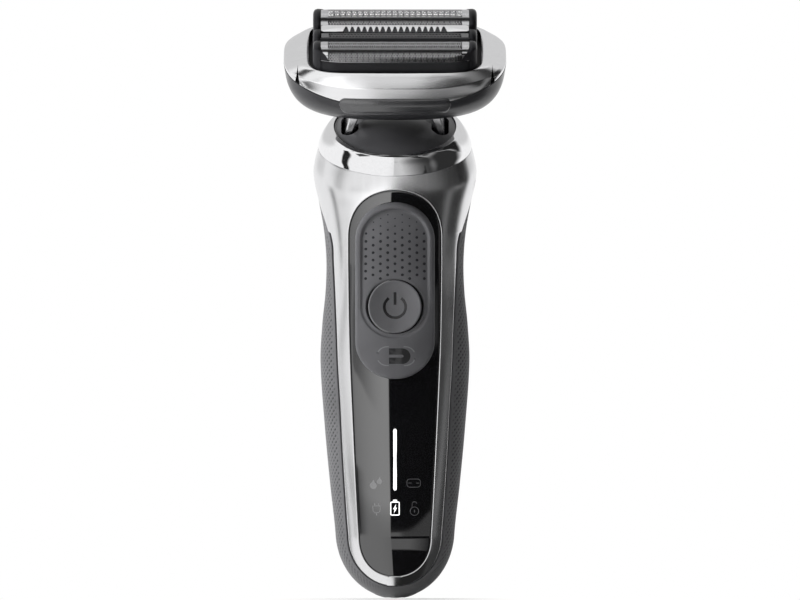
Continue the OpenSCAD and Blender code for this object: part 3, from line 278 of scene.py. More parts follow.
def linked(name, data):
    """New object of the scene for a mesh, a lamp or a camera."""
    obj = bpy.data.objects.new(name, data)
    bpy.context.scene.collection.objects.link(obj)
    return obj


@contextmanager
def mesh_of(obj):
    """The piece's mesh, open for editing and written back at the end."""
    bm = bmesh.new()
    bm.from_mesh(obj.data)
    yield bm
    bm.to_mesh(obj.data)
    bm.free()


def make(name, points, faces, smooth_under=35):
    """Object from points in millimetres and faces, smooth except over sharper angles."""
    mesh = bpy.data.meshes.new(name)
    mesh.from_pydata((np.asarray(points, float).reshape(-1, 3) * MM).tolist(), [],
                     [list(map(int, f)) for f in faces])
    obj = linked(name, mesh)
    tidy(obj, smooth_under)
    return obj


def tidy(obj, smooth_under=35, weld=1e-7):
    """Merge double points, drop loose ones and set the shading."""
    with mesh_of(obj) as bm:
        bmesh.ops.remove_doubles(bm, verts=bm.verts, dist=weld)
        bmesh.ops.dissolve_degenerate(bm, edges=bm.edges, dist=weld)
        bmesh.ops.delete(bm, geom=[v for v in bm.verts if not v.link_faces], context="VERTS")
    shade(obj, smooth_under)


def shade(obj, smooth_under=35):
    """Smooth shading, with sharp edges where faces meet at more degrees."""
    obj.data.polygons.foreach_set("use_smooth", [True] * len(obj.data.polygons))
    obj.data.set_sharp_from_angle(angle=math.radians(smooth_under))


def joined(name, parts, smooth_under=35):
    """One object from several, which are removed."""
    bm = bmesh.new()
    for part in parts:
        bm.from_mesh(part.data)
        drop(part)
    mesh = bpy.data.meshes.new(name)
    bm.to_mesh(mesh)
    bm.free()
    obj = linked(name, mesh)
    shade(obj, smooth_under)
    return obj


def drop(obj):
    """Remove an object and its mesh."""
    mesh = obj.data
    bpy.data.objects.remove(obj, do_unlink=True)
    bpy.data.meshes.remove(mesh)


def outward(obj):
    """Turn the faces of a closed piece outwards."""
    with mesh_of(obj) as bm:
        bmesh.ops.recalc_face_normals(bm, faces=bm.faces)
    return obj


def capped(obj, sides):
    """Close the open ends of a strip, of up to so many sides."""
    with mesh_of(obj) as bm:
        bmesh.ops.holes_fill(bm, edges=[e for e in bm.edges if e.is_boundary], sides=sides)
    return outward(obj)


def roll_edges(obj, reach, depth, steps=3, smooth_under=35):
    """Round the open edges of a sheet over and turn them down, so that it reads as a moulding."""
    quarter = [math.radians(90 * k / steps) for k in range(1, steps + 1)]
    stops = [(math.sin(a), 1 - math.cos(a)) for a in quarter] + [(1, depth / reach)]
    with mesh_of(obj) as bm:
        bm.normal_update()
        lines, lean_out = [], {}
        for e in bm.edges:
            if not e.is_boundary:
                continue
            loop = e.link_loops[0]
            a, b = loop.vert, loop.link_loop_next.vert
            lines.append((a, b))
            out = (b.co - a.co).normalized().cross(loop.face.normal).normalized()
            for v in (a, b):
                lean_out[v] = lean_out.get(v, Vector()) + out
        start = {v: (v.co.copy(), d.normalized(), v.normal.copy()) for v, d in lean_out.items()}
        ring = {v: v for v in start}
        for out, down in stops:
            fresh = {v: bm.verts.new(co + d * (reach * out * MM) - n * (reach * down * MM))
                     for v, (co, d, n) in start.items()}
            for a, b in lines:
                bm.faces.new((ring[b], ring[a], fresh[a], fresh[b]))
            ring = fresh
    shade(obj, smooth_under)
    return obj


def eased(rows, reach, steps=4, ring=False):
    """Rows of loops with every corner of their profile rounded over by reach millimetres."""
    rows = [np.asarray(r, float) for r in rows]
    reach = reach if hasattr(reach, "__len__") else [reach] * len(rows)
    last = len(rows) - 1
    out = []
    for k, p in enumerate(rows):
        if not ring and k in (0, last) or reach[k] == 0:
            out.append(p)
            continue
        a, b = rows[k - 1], rows[(k + 1) % len(rows)]
        da = np.linalg.norm(a - p, axis=-1, keepdims=True) + 1e-9
        db = np.linalg.norm(b - p, axis=-1, keepdims=True) + 1e-9
        s = p + (a - p) * np.minimum(reach[k] / da, 0.48)
        e = p + (b - p) * np.minimum(reach[k] / db, 0.48)
        for t in np.linspace(0, 1, steps):
            out.append((1 - t) ** 2 * s + 2 * t * (1 - t) * p + t * t * e)
    return out


def swept(name, rows, around=True, over=False, caps=False, smooth_under=35):
    """Piece through rows of equally many points, closed round and if asked over or at its ends."""
    rows = np.array(rows)
    count, n = rows.shape[:2]
    faces = [tuple(f) for f in grid_faces(count, n, around, over)]
    if caps:
        faces += [tuple(range(n))[::-1], tuple(range((count - 1) * n, count * n))]
    return make(name, rows, faces, smooth_under)


def smooth_rows(rows, steps=6):
    """More rows between the given ones, on a smooth curve through them."""
    rows = np.array(rows, float)
    out = []
    for k in range(len(rows) - 1):
        p0, p1, p2, p3 = rows[max(k - 1, 0)], rows[k], rows[k + 1], rows[min(k + 2, len(rows) - 1)]
        for t in np.arange(steps) / steps:
            out.append(0.5 * (2*p1 + (p2 - p0)*t + (2*p0 - 5*p1 + 4*p2 - p3)*t*t
                              + (3*p1 - p0 - 3*p2 + p3)*t**3))
    return out + [rows[-1]]


def block(name, lo, hi, place, ease=0.3):
    """Box with rounded edges between two corners, put in its place by place(x, v, w)."""
    x, v, w = [np.array([lo[i], hi[i]], float) for i in range(3)]
    corners = [(i, j, k) for k in (0, 1) for j in (0, 1) for i in (0, 1)]
    pts = np.array([place(x[i], v[j], w[k]) for i, j, k in corners])
    faces = [(0, 1, 5, 4), (1, 3, 7, 5), (3, 2, 6, 7), (2, 0, 4, 6), (4, 5, 7, 6), (0, 2, 3, 1)]
    return beveled(make(name, pts, faces), ease)


def beveled(obj, ease, segments=3, angle=30):
    """Round the edges of a closed piece over by ease millimetres."""
    outward(obj)
    mod = obj.modifiers.new("Eased edges", "BEVEL")
    mod.width = ease * MM
    mod.segments = segments
    mod.limit_method = "ANGLE"
    mod.angle_limit = math.radians(angle)
    return settled(obj, 50)


def bezel(name, loop, place, width, deep):
    """Moulded rim round an opening; loop(grow) gives its outline and place lays it on the surface."""
    high = 0.17
    profile = [(width + 0.1, -0.5), (width, -0.02), (0.9 * width, 0.1), (0.65 * width, high),
               (0.35 * width, high), (0.1 * width, 0.1), (0.02, -0.03), (0, -0.25), (0, -deep)]
    rows = [place(*np.array(loop(grow)).T, lift) for grow, lift in profile]
    return outward(swept(name, rows, over=True, smooth_under=60))


def opened(obj, inside):
    """Delete the faces whose centres inside(centres in millimetres) picks."""
    centres = np.empty(len(obj.data.polygons) * 3)
    obj.data.polygons.foreach_get("center", centres)
    gone = inside(centres.reshape(-1, 3) / MM)
    with mesh_of(obj) as bm:
        bm.faces.ensure_lookup_table()
        bmesh.ops.delete(bm, geom=[bm.faces[i] for i in np.flatnonzero(gone)], context="FACES")
    return obj


def settled(obj, smooth_under=35):
    """Apply the piece's modifiers to its mesh."""
    bpy.context.view_layer.update()
    shape = obj.evaluated_get(bpy.context.evaluated_depsgraph_get())
    mesh = bpy.data.meshes.new_from_object(shape)
    old, name = obj.data, obj.data.name
    obj.modifiers.clear()
    obj.data = mesh
    bpy.data.meshes.remove(old)
    mesh.name = name
    shade(obj, smooth_under)
    return obj


def carved(obj, cutters, smooth_under=35):
    """Cut closed pieces out of a closed piece, and remove them."""
    for cutter in cutters:
        mod = obj.modifiers.new("Cut", "BOOLEAN")
        mod.operation = "DIFFERENCE"
        mod.solver = "EXACT"
        mod.object = outward(cutter)
    settled(obj, smooth_under)
    for cutter in cutters:
        drop(cutter)
    return obj


def prism(name, outline, v0, v1, place):
    """Straight prism of an outline of (x, w) points from v0 to v1."""
    n = len(outline)
    pts = [place(x, v, w) for v in (v0, v1) for x, w in outline]
    faces = [tuple(range(n)), tuple(range(2 * n - 1, n - 1, -1))]
    faces += [(i, i + n, (i + 1) % n + n, (i + 1) % n) for i in range(n)]
    return outward(make(name, np.array(pts), faces))


def turned(name, profile, centre, axis, points=64, smooth_under=35):
    """Closed piece of revolution from (radius, height) points along axis."""
    axis = np.array(axis, float) / np.linalg.norm(axis)
    side = np.cross(axis, [0.31, 0.87, 0.38])
    side /= np.linalg.norm(side)
    other = np.cross(axis, side)
    k = np.arange(points) * 2 * np.pi / points
    spokes = np.cos(k)[:, None] * side + np.sin(k)[:, None] * other
    rows = [np.array(centre) + r * spokes + h * axis for r, h in profile]
    return outward(swept(name, rows, smooth_under=smooth_under))


# ---- Finishes ----

class Pattern:
    """Math nodes of one node tree, for the shares and shades that its surfaces show."""

    def __init__(self, tree):
        self.nodes, self.links = tree.nodes, tree.links

    def math(self, kind, a, b=None, clamp=False):
        """Math node of one or two numbers or sockets."""
        node = self.nodes.new("ShaderNodeMath")
        node.operation = kind
        node.use_clamp = clamp
        for i, value in enumerate((a, b)):
            if isinstance(value, (int, float)):
                node.inputs[i].default_value = value
            elif value is not None:
                self.links.new(value, node.inputs[i])
        return node.outputs[0]

    def chain(self, kind, first, *others):
        """One math operation over several numbers or sockets, such as their sum or the greatest."""
        for value in others:
            first = self.math(kind, first, value)
        return first

    def ramp(self, value, start, end, low=0.0, high=1.0):
        """Smooth step from low to high while the value goes from start to end."""
        node = self.nodes.new("ShaderNodeMapRange")
        node.interpolation_type = "SMOOTHSTEP"
        self.links.new(value, node.inputs["Value"])
        for key, number in (("From Min", start), ("From Max", end), ("To Min", low), ("To Max", high)):
            node.inputs[key].default_value = number
        return node.outputs["Result"]

    def band(self, value, a0, a1, b0, b1):
        """Full between a1 and b0, fading to nothing at a0 and b1."""
        return self.math("MULTIPLY", self.ramp(value, a0, a1), self.ramp(value, b0, b1, 1, 0))

    def compass(self, source, output):
        """The three coordinates of a texture output, and its degrees to the right of the front."""
        split = self.nodes.new("ShaderNodeSeparateXYZ")
        self.links.new(source.outputs[output], split.inputs[0])
        x, y, z = split.outputs
        turn = self.math("ARCTAN2", x, self.math("MULTIPLY", y, -1.0))
        return x, y, z, self.math("MULTIPLY", turn, 180 / math.pi)


def node_material(name):
    """New material, its nodes and links, and its shader."""
    mat = bpy.data.materials.new(name)
    mat.use_nodes = True
    nodes, links = mat.node_tree.nodes, mat.node_tree.links
    return mat, nodes, links, nodes["Principled BSDF"]


def noise(nodes, links, vector, scale, detail):
    """Noise that is read at a vector."""
    node = nodes.new("ShaderNodeTexNoise")
    node.inputs["Scale"].default_value = scale
    node.inputs["Detail"].default_value = detail
    links.new(vector, node.inputs["Vector"])
    return node.outputs["Fac"]


def mottled(nodes, links, pattern, shades, spots, roughness):
    """Colour that goes between two shades, and roughness between two values, along a pattern."""
    shader = nodes["Principled BSDF"]
    tint = nodes.new("ShaderNodeValToRGB")
    for stop, spot, colour in zip(tint.color_ramp.elements, spots, shades):
        stop.position = spot
        stop.color = (*np.minimum(colour, 1), 1)
    links.new(pattern, tint.inputs["Fac"])
    links.new(tint.outputs["Color"], shader.inputs["Base Color"])
    spread = nodes.new("ShaderNodeMapRange")
    spread.inputs["To Min"].default_value = max(0.0, roughness[0])
    spread.inputs["To Max"].default_value = min(1.0, roughness[1])
    links.new(pattern, spread.inputs["Value"])
    links.new(spread.outputs["Result"], shader.inputs["Roughness"])


def bumped(nodes, links, pattern, strength, distance):
    """Fine relief along a pattern, distance metres deep."""
    bump = nodes.new("ShaderNodeBump")
    bump.inputs["Strength"].default_value = strength
    bump.inputs["Distance"].default_value = distance
    links.new(pattern, bump.inputs["Height"])
    links.new(bump.outputs["Normal"], nodes["Principled BSDF"].inputs["Normal"])


def moulded(name, colour, roughness, grain=0.25, grain_scale=5200.0, shift=0.12, coat=0.0,
            coat_roughness=0.1, specular=0.5, ior=1.5, rough_shift=0.06):
    """Plastic with fine grain, slight cloudiness and a roughness that varies with it."""
    mat, nodes, links, shader = node_material(name)
    place = nodes.new("ShaderNodeTexCoord").outputs["Object"]
    base = np.array(colour[:3])
    mottled(nodes, links, noise(nodes, links, place, 90, 4), (base * (1 - shift), base * (1 + shift)),
            (0.35, 0.65), (roughness - rough_shift, roughness + rough_shift))
    if grain:
        bumped(nodes, links, noise(nodes, links, place, grain_scale, 2), grain, 0.00004)
    shader.inputs["Specular IOR Level"].default_value = specular
    shader.inputs["IOR"].default_value = ior
    shader.inputs["Coat Weight"].default_value = coat
    shader.inputs["Coat Roughness"].default_value = coat_roughness
    return mat


def plated(name, colour, roughness, streaks=0.0, direction=(1, 1, 1)):
    """Polished or satin metal with faint brushing along one direction."""
    mat, nodes, links, shader = node_material(name)
    stretch = nodes.new("ShaderNodeMapping")
    stretch.inputs["Scale"].default_value = direction
    links.new(nodes.new("ShaderNodeTexCoord").outputs["Object"], stretch.inputs["Vector"])
    lines = noise(nodes, links, stretch.outputs["Vector"], 1400, 3)
    base = np.array(colour[:3])
    mottled(nodes, links, lines, (base * 0.94, base * 1.04), (0, 1), (roughness - 0.03, roughness + 0.03))
    if streaks:
        bumped(nodes, links, lines, streaks, 0.00002)
    shader.inputs["Metallic"].default_value = 1.0
    return mat


def lit(name, colour, strength):
    """Window lit from behind: a frosted face with an even glow."""
    mat = moulded(name, colour, 0.4, grain=0.1)
    shader = mat.node_tree.nodes["Principled BSDF"]
    shader.inputs["Emission Color"].default_value = (*colour[:3], 1)
    shader.inputs["Emission Strength"].default_value = strength
    return mat


def dimpled_rubber(name, colour, pit_shade):
    """Soft matt rubber with painted shade at the bottom of its dimples, which the mesh marks: a darker colour
    stands in for the shade in each pit.
    """
    mat = moulded(name, colour, 0.62, grain=0.5, grain_scale=3800, shift=0.1)
    nodes, links = mat.node_tree.nodes, mat.node_tree.links
    shader = nodes["Principled BSDF"]
    mark = nodes.new("ShaderNodeAttribute")
    mark.attribute_name = "pit"
    # painted shade: the pits' darker colour is mixed in where the mesh marks a dimple
    mix = nodes.new("ShaderNodeMix")
    mix.data_type = "RGBA"
    mix.inputs["B"].default_value = (*pit_shade[:3], 1)
    body = shader.inputs["Base Color"].links[0].from_socket
    share = Pattern(mat.node_tree).math("MULTIPLY", mark.outputs["Fac"], 1.7, clamp=True)
    links.new(share, mix.inputs["Factor"])
    links.new(body, mix.inputs["A"])
    links.new(mix.outputs["Result"], shader.inputs["Base Color"])
    shader.inputs["Sheen Weight"].default_value = 0.15
    shader.inputs["Sheen Roughness"].default_value = 0.6
    return mat


FINISHES = {}
GLASS_IOR = 2.1        # of the hard, glossy panel


def finish(slot):
    """The material of one of the record's slots, made once."""
    if slot in FINISHES:
        return FINISHES[slot]
    look = bpy.context.scene.shaver_look
    lengthwise, crosswise = (1, 1, 0.04), (0.04, 1, 1)
    makers = {
        "silver_frame": lambda: plated("silver lacquer", look.silver, 0.24, 0.05, lengthwise),
        # the dimples' colour, 0.06 of the rubber's, is painted shade
        "grip_rubber": lambda: dimpled_rubber("grip rubber", look.rubber, [c * 0.06 for c in look.rubber]),
        "panel_gloss": lambda: moulded("panel gloss", (0.004, 0.004, 0.005), 0.03, 0, shift=0.05,
                                       ior=GLASS_IOR, rough_shift=0.01),
        "light_bar": lambda: lit("light bar glow", (1.0, 1.0, 1.0), look.glow),
        "chassis_plastic": lambda: moulded("chassis plastic", (0.3, 0.3, 0.31), 0.5),
        "cell_wrap": lambda: moulded("cell sleeve", (0.1, 0.32, 0.2), 0.3),
        "gold_contact": lambda: plated("gold contact", (0.83, 0.64, 0.3), 0.2),
        "board": lambda: moulded("board mask", (0.04, 0.2, 0.1), 0.35),
        "steel": lambda: plated("turned steel", (0.6, 0.6, 0.61), 0.28, 0.1, crosswise),
        "black_plastic": lambda: moulded("black moulding", (0.018, 0.018, 0.02), 0.5),
        "led": lambda: moulded("lamp body", (0.85, 0.85, 0.8), 0.4),
        "seal_rubber": lambda: moulded("seal rubber", (0.35, 0.08, 0.06), 0.7),
        "slider_plastic": lambda: moulded("slider moulding", look.slider, 0.42, 0.3),
        "button_plastic": lambda: moulded("button moulding", look.button, 0.4, 0.25),
        "release_button": lambda: moulded("release button", (0.045, 0.045, 0.048), 0.5),
        "chrome_ring": lambda: plated("ring chrome", look.chrome, 0.05),
        "neck_plastic": lambda: moulded("neck moulding", (0.085, 0.085, 0.09), 0.33, 0.2, ior=1.9),
        "chrome_arm": lambda: plated("arm chrome", (0.78, 0.78, 0.79), 0.26),
        "head_plastic": lambda: moulded("head moulding", (0.022, 0.022, 0.025), 0.3, 0.1, coat=0.2,
                                        coat_roughness=0.15),
        "tab_gloss": lambda: moulded("tab gloss", (0.035, 0.035, 0.038), 0.2, 0.05, coat=0.6,
                                     coat_roughness=0.08, ior=1.8),
        "copper_coil": lambda: plated("coil copper", (0.7, 0.36, 0.2), 0.3),
        "side_button": lambda: moulded("side button", (0.07, 0.07, 0.074), 0.42),
        "chrome_frame": lambda: plated("cassette chrome", look.chrome, 0.2, 0.06, crosswise),
        "holder_plastic": lambda: moulded("holder moulding", (0.014, 0.014, 0.016), 0.36, 0.1,
                                          specular=0.25),
        "foil_metal": lambda: plated("foil", (0.6, 0.6, 0.61), 0.17),
        "grey_plastic": lambda: moulded("carrier moulding", (0.12, 0.12, 0.125), 0.5),
        # the blades' near-black is painted shade: bright ground steel darkened for the shade under the foils
        "blade_steel": lambda: plated("ground blade painted shade", (0.07, 0.07, 0.075), 0.4, 0.1),
        "comb_metal": lambda: plated("comb steel", (0.86, 0.86, 0.87), 0.16, 0.05, crosswise),
    }
    FINISHES[slot] = makers[slot]()
    return FINISHES[slot]


def settle_in(obj, body, slot, *nodes):
    """Give a piece its finish, let it ride on its body and stand for its solids."""
    obj.data.materials.clear()
    obj.data.materials.append(finish(slot))
    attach(obj, body)
    if nodes:
        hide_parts(*nodes)
    return obj


def refinished(obj, mat):
    """Give a piece another shade of its slot's material."""
    obj.data.materials[0] = mat
    return obj


# ---- Settings a user would change ----

class ShaverLook(bpy.types.PropertyGroup):
    """Colours and fine detail of the shaver."""
    silver: FloatVectorProperty(name="Silver", description="Colour of the handle's front frame",
                                subtype="COLOR", size=3, min=0, max=1, default=(0.79, 0.79, 0.8))
    chrome: FloatVectorProperty(name="Chrome", description="Colour of the collar and the cassette frame",
                                subtype="COLOR", size=3, min=0, max=1, default=(0.86, 0.86, 0.87))
    rubber: FloatVectorProperty(name="Rubber", description="Colour of the dimpled grip",
                                subtype="COLOR", size=3, min=0, max=1, default=(0.11, 0.11, 0.115))
    slider: FloatVectorProperty(name="Slider", description="Colour of the lock slider",
                                subtype="COLOR", size=3, min=0, max=1, default=(0.11, 0.11, 0.117))
    button: FloatVectorProperty(name="Button", description="Colour of the power button",
                                subtype="COLOR", size=3, min=0, max=1, default=(0.125, 0.125, 0.132))
    glow: FloatProperty(name="Glow", description="Brightness of the light bar and the lit pictogram",
                        min=0, max=4, default=1.0)
    dimple: FloatProperty(name="Dimple depth", description="Depth of the dimples in the grip",
                          unit="LENGTH", min=0, max=0.0006, precision=5, default=0.0003)
    mesh_step: FloatProperty(name="Grip mesh step",
                             description="Size of the grip's mesh, a quarter of a dimple's pitch",
                             unit="LENGTH", min=0.0003, max=0.001, precision=5, default=0.00042)
    foil_pitch: FloatProperty(name="Foil hole pitch", description="Distance between the holes of the foils",
                              unit="LENGTH", min=0.0005, max=0.0015, precision=5, default=0.00075)
    teeth: IntProperty(name="Comb teeth", description="Teeth of the trimmer comb",
                       min=9, max=25, default=17)


class ShaverStage(bpy.types.PropertyGroup):
    """Camera, floor and light."""
    distance: FloatProperty(name="Camera distance", description="Distance of the camera from the handle",
                            unit="LENGTH", min=0.5, max=10, default=6.5)
    view_width: FloatProperty(name="View width", description="Width that the camera takes in at the handle",
                              unit="LENGTH", min=0.1, max=0.6, precision=4, default=0.217)
    key: FloatProperty(name="Key lamp", description="Power of the soft lamp on the left",
                       unit="POWER", min=0, max=60, default=26.0)
    fill: FloatProperty(name="Fill", description="Brightness of the room's left side on matt surfaces",
                        min=0, max=2, default=0.28)


# ---- Handle ----

def handle_rows(panel_grow, frame_grow, fine):
    """Heights beside the panel and on the centre line for each row, with the first row of each zone."""
    base, foot = FRAME_BASE - frame_grow, PANEL_BASE - panel_grow
    r, end = PANEL_R + panel_grow, HANDLE - GAP
    high = r * ARC_SHARE

    def steps(count, last=1.0):
        return np.linspace(0, last, count, endpoint=False)

    strip = [lerp(base, foot, k * k) for k in steps(3 * fine)]
    bend = [foot + (FOOT_H - foot) * (1 - math.cos(math.radians(a))) for a in steps(8 * fine, 90)]
    shaft = [lerp(FOOT_H, ARC_Z, k) for k in steps(20 * fine)]
    arc = [(ARC_Z + r * math.sin(math.radians(45 * k)), ARC_Z + r * k)
           for k in np.linspace(0, 1, 5 * fine + 1)]
    low = [lerp(ARC_Z + high, GRIP_TOP, k) for k in np.linspace(0, 1, fine + 1)[1:]]
    top = [lerp(GRIP_TOP, end, k) for k in np.linspace(0, 1, 3 * fine + 1)[1:]]
    ends = [(s, lerp(ARC_Z + r, end, (s - ARC_Z - high) / (end - ARC_Z - high))) for s in low + top]
    rows = [(f, f) for f in strip + bend + shaft] + arc + ends
    panel = len(strip)
    panel_end = panel + len(bend) + len(shaft) + len(arc) - 1
    return np.array(rows), panel, panel_end, panel_end + len(low)


def handle_grid(rows, panel_grow, frame_grow, cols, sunk=0.0):
    """Points of half the front: columns in the panel, in the frame beside it, and round to the back."""
    inner, beside_cols, back = cols
    side = rows[:, :1]
    u = np.linspace(0, 1, inner + 1)[None, :]
    side_share = math.sqrt(0.5)
    arch = (np.sqrt(1 - u * u / 2) - side_share) / (1 - side_share)
    f = lerp(side, rows[:, 1:], arch)
    x = panel_x(side, panel_grow) * u
    first = skin(f, angle_of(x, f), sunk)
    a0 = angle_of(panel_x(side, panel_grow), side)
    a1 = frame_angle(side, frame_grow)
    a1 = np.maximum(a1, a0 + 0.02)
    k = np.linspace(0, 1, beside_cols + 1)[None, 1:]
    second = skin(np.broadcast_to(side, (len(rows), beside_cols)), lerp(a0, a1, k), sunk)
    k = np.linspace(0, 1, back + 1)[None, 1:]
    third = skin(np.broadcast_to(side, (len(rows), back)), lerp(a1, 180, k), sunk)
    return np.concatenate([first, second, third], axis=1)


def mirrored(half, keep):
    """Both halves of a grid as points, and the faces of the cells for which keep(row, column) holds."""
    rows, cols = half.shape[:2]
    r, c = np.meshgrid(np.arange(rows - 1), np.arange(cols - 1), indexing="ij")
    mask = keep(r, c)
    i = (r * cols + c)[mask]
    right = np.stack([i, i + 1, i + cols + 1, i + cols], axis=-1)
    left = right[:, ::-1] + rows * cols
    points = np.concatenate([half.reshape(-1, 3), (half * [-1, 1, 1]).reshape(-1, 3)])
    return points, np.concatenate([right, left])


class SHAVER_OT_front_frame(bpy.types.Operator):
    """Silver frame round the panel, over the shoulder and down to the foot"""
    bl_idname = "shaver.front_frame"
    bl_label = "Front frame"

    def execute(self, context):
        edge = 0.34
        rows, panel, panel_end, grip = handle_rows(GAP + edge, -GAP - edge, 6)
        inner, beside_cols = 18, 20
        half = handle_grid(rows, GAP + edge, -GAP - edge, (inner, beside_cols, 24))

        def kept(r, c):
            above = np.where(c < inner + beside_cols, True, r >= grip)
            return np.where(c < inner, (r < panel) | (r >= panel_end), above)

        points, faces = mirrored(half, kept)
        obj = make("front_frame_shell", points, faces)
        roll_edges(obj, edge, 1.3, 4)
        settle_in(obj, "handle", "silver_frame", "front_frame")
        return {"FINISHED"}


class SHAVER_OT_display_panel(bpy.types.Operator):
    """Glossy panel, set slightly below the frame's edge"""
    bl_idname = "shaver.display_panel"
    bl_label = "Display panel"

    def execute(self, context):
        edge, inner = 0.12, 20
        rows, panel, panel_end, _ = handle_rows(-GAP - edge, -GAP, 4)
        half = handle_grid(rows, -GAP - edge, -GAP, (inner, 1, 1), sunk=0.12)
        points, faces = mirrored(half, lambda r, c: (c < inner) & (r >= panel) & (r < panel_end))
        obj = make("display_panel_gloss", points, faces)
        roll_edges(obj, edge, 1.2, 3)
        settle_in(obj, "handle", "panel_gloss", "display_panel")
        return {"FINISHED"}


GRIP_MIDDLE = 62.0      # height at which the dimples' pitch is counted round the grip


def grip_grid(step, grow):
    """Angles round the grip and heights up it, a quarter of a dimple's pitch apart."""
    dense = np.linspace(0, 180, 721)
    sides = np.linalg.norm(np.diff(skin(GRIP_MIDDLE, dense), axis=0), axis=1)
    run = np.concatenate([[0], np.cumsum(sides)])
    count = int(round(run[-1] / step / 4)) * 4
    angles = np.interp(np.linspace(0, run[-1], count + 1), run, dense)
    around = np.concatenate([-angles[:0:-1], angles[:-1]])[None, :]
    foot_steps = int(FOOT_H * math.pi / 2 / step / 4) * 4
    low = FOOT_H * (1 - np.cos(np.linspace(0, np.pi / 2, foot_steps, endpoint=False)))
    top = GRIP_TOP - grow
    return around, np.concatenate([low, np.linspace(FOOT_H, top, int((top - FOOT_H) / step))])


def dimpled_sheet(step, depth, grow):
    """Points, faces and dimple marks of the grip, closed round the foot and open in front above it."""
    around, heights = grip_grid(step, grow)
    index = np.arange(len(heights))[:, None]
    column = np.arange(around.shape[1])[None, :]
    dot = ((index % 4 == 0) & (column % 4 == 0)) | ((index % 4 == 2) & (column % 4 == 2))

    def sheet(f, index, closed):
        limit = np.zeros_like(f) if closed else frame_angle(f, grow)
        a = np.where(np.abs(around) < limit, np.where(around < 0, -limit, limit), around)
        clear = 1.0 if closed else np.clip((np.abs(around) - limit) / 4 - 0.6, 0, 1)
        fade = np.clip((f - 1.6) / 3, 0, 1) * np.clip((GRIP_TOP - 1 - f) / 1.2, 0, 1)
        pits = dot[index] * clear * fade
        return skin(f, a, depth * pits), pits, a

    seam = FRAME_BASE - grow
    split = int(np.searchsorted(heights, seam))
    lower = np.append(heights[:split], seam)[:, None]
    upper = np.append(seam, heights[split:])[:, None]
    p0, m0, _ = sheet(lower, np.append(np.arange(split), 1), True)
    p1, m1, a1 = sheet(upper, np.append(1, np.arange(split, len(heights))), False)
    n = around.shape[1]
    closed_faces = grid_faces(len(lower), n, around=True)
    open_faces = grid_faces(len(upper), n, around=True)
    turn = a1.reshape(-1)[open_faces]
    wide = (np.abs(turn[:, 0] - turn[:, 1]) > 1e-6) | (np.abs(turn[:, 3] - turn[:, 2]) > 1e-6)
    front = (turn[:, 0] < 0) & (turn[:, 1] >= 0) & (np.abs(turn[:, 0] - turn[:, 1]) < 300)
    open_faces = open_faces[wide & ~front]
    points = np.concatenate([p0.reshape(-1, 3), p1.reshape(-1, 3)])
    faces = np.concatenate([closed_faces, open_faces + len(lower) * n])
    pits = np.concatenate([np.broadcast_to(m, p.shape[:2]).reshape(-1) for m, p in ((m0, p0), (m1, p1))])
    return points, faces, pits


def opening(half_w, half_h, cx, cz, steps):
    """Outline of a round-ended opening, as a function of how much it grows."""
    return lambda grow: stadium(2 * (half_w + grow), 2 * (half_h + grow), cx, cz, steps=steps)


class SHAVER_OT_rear_grip(bpy.types.Operator):
    """Rubber grip with staggered dimples, moulded into the mesh"""
    bl_idname = "shaver.rear_grip"
    bl_label = "Rear grip"

    def execute(self, context):
        look = context.scene.shaver_look
        edge = 0.2
        points, faces, pits = dimpled_sheet(look.mesh_step / MM, look.dimple / MM, GAP + edge)
        mesh = bpy.data.meshes.new("rear_grip_rubber")
        mesh.from_pydata((points * MM).tolist(), [], faces.tolist())
        mesh.attributes.new("pit", "FLOAT", "POINT").data.foreach_set("value", pits)
        obj = linked("rear_grip_rubber", mesh)
        tidy(obj, 60, 1e-6)
        roll_edges(obj, edge, 1.2, 3, 60)

        # half sizes and middles of the head's button, of the station contacts and of the inlet
        lo, hi = box_mm("head_release_button")
        button_x, button_r = (hi[0] - lo[0]) / 2 + CLEAR, (hi[2] - lo[2]) / 2 + CLEAR
        button_z = (lo[2] + hi[2]) / 2
        lo, hi = box_mm("station_contacts")
        pad_r = (hi[2] - lo[2]) / 2 + 0.05
        pad_x, pad_z = hi[0] - pad_r, (lo[2] + hi[2]) / 2
        lo, hi = box_mm("charging_socket")
        inlet_x, inlet_r, inlet_y = hi[0], (hi[1] - lo[1]) / 2, (lo[1] + hi[1]) / 2

        def in_openings(centres):
            x, y, z = np.abs(centres[:, 0]), centres[:, 1], centres[:, 2]
            button = np.hypot(np.maximum(0, x - button_x + button_r), z - button_z) < button_r + 0.8
            pads = np.hypot(x - pad_x, z - pad_z) < pad_r + 0.5
            inlet = np.hypot(np.maximum(0, x - inlet_x + inlet_r), y - inlet_y) < inlet_r + 0.5
            return (y > 0) & (button | pads) | (z < FOOT_H * 0.7) & inlet

        opened(obj, in_openings)
        settle_in(obj, "handle", "grip_rubber", "rear_grip")

        rim = bezel("button rim", opening(button_x, button_r, 0, button_z, 12), on_back, 1.5, 1.6)
        settle_in(joined("release_button_rim", [rim], 60), "handle", "grip_rubber")
        rims = [bezel("pad rim", opening(pad_r, pad_r, s * pad_x, pad_z, 10), on_back, 1.0, 1.4)
                for s in (-1, 1)]
        rims.append(bezel("inlet rim", opening(inlet_x + 0.1, inlet_r + 0.1, 0, inlet_y, 16),
                          under_foot, 1.0, 1.4))
        settle_in(joined("contact_rims", rims, 60), "handle", "black_plastic")
        return {"FINISHED"}


# ---- Marks on the panel ----

MARK_THICK = 0.03


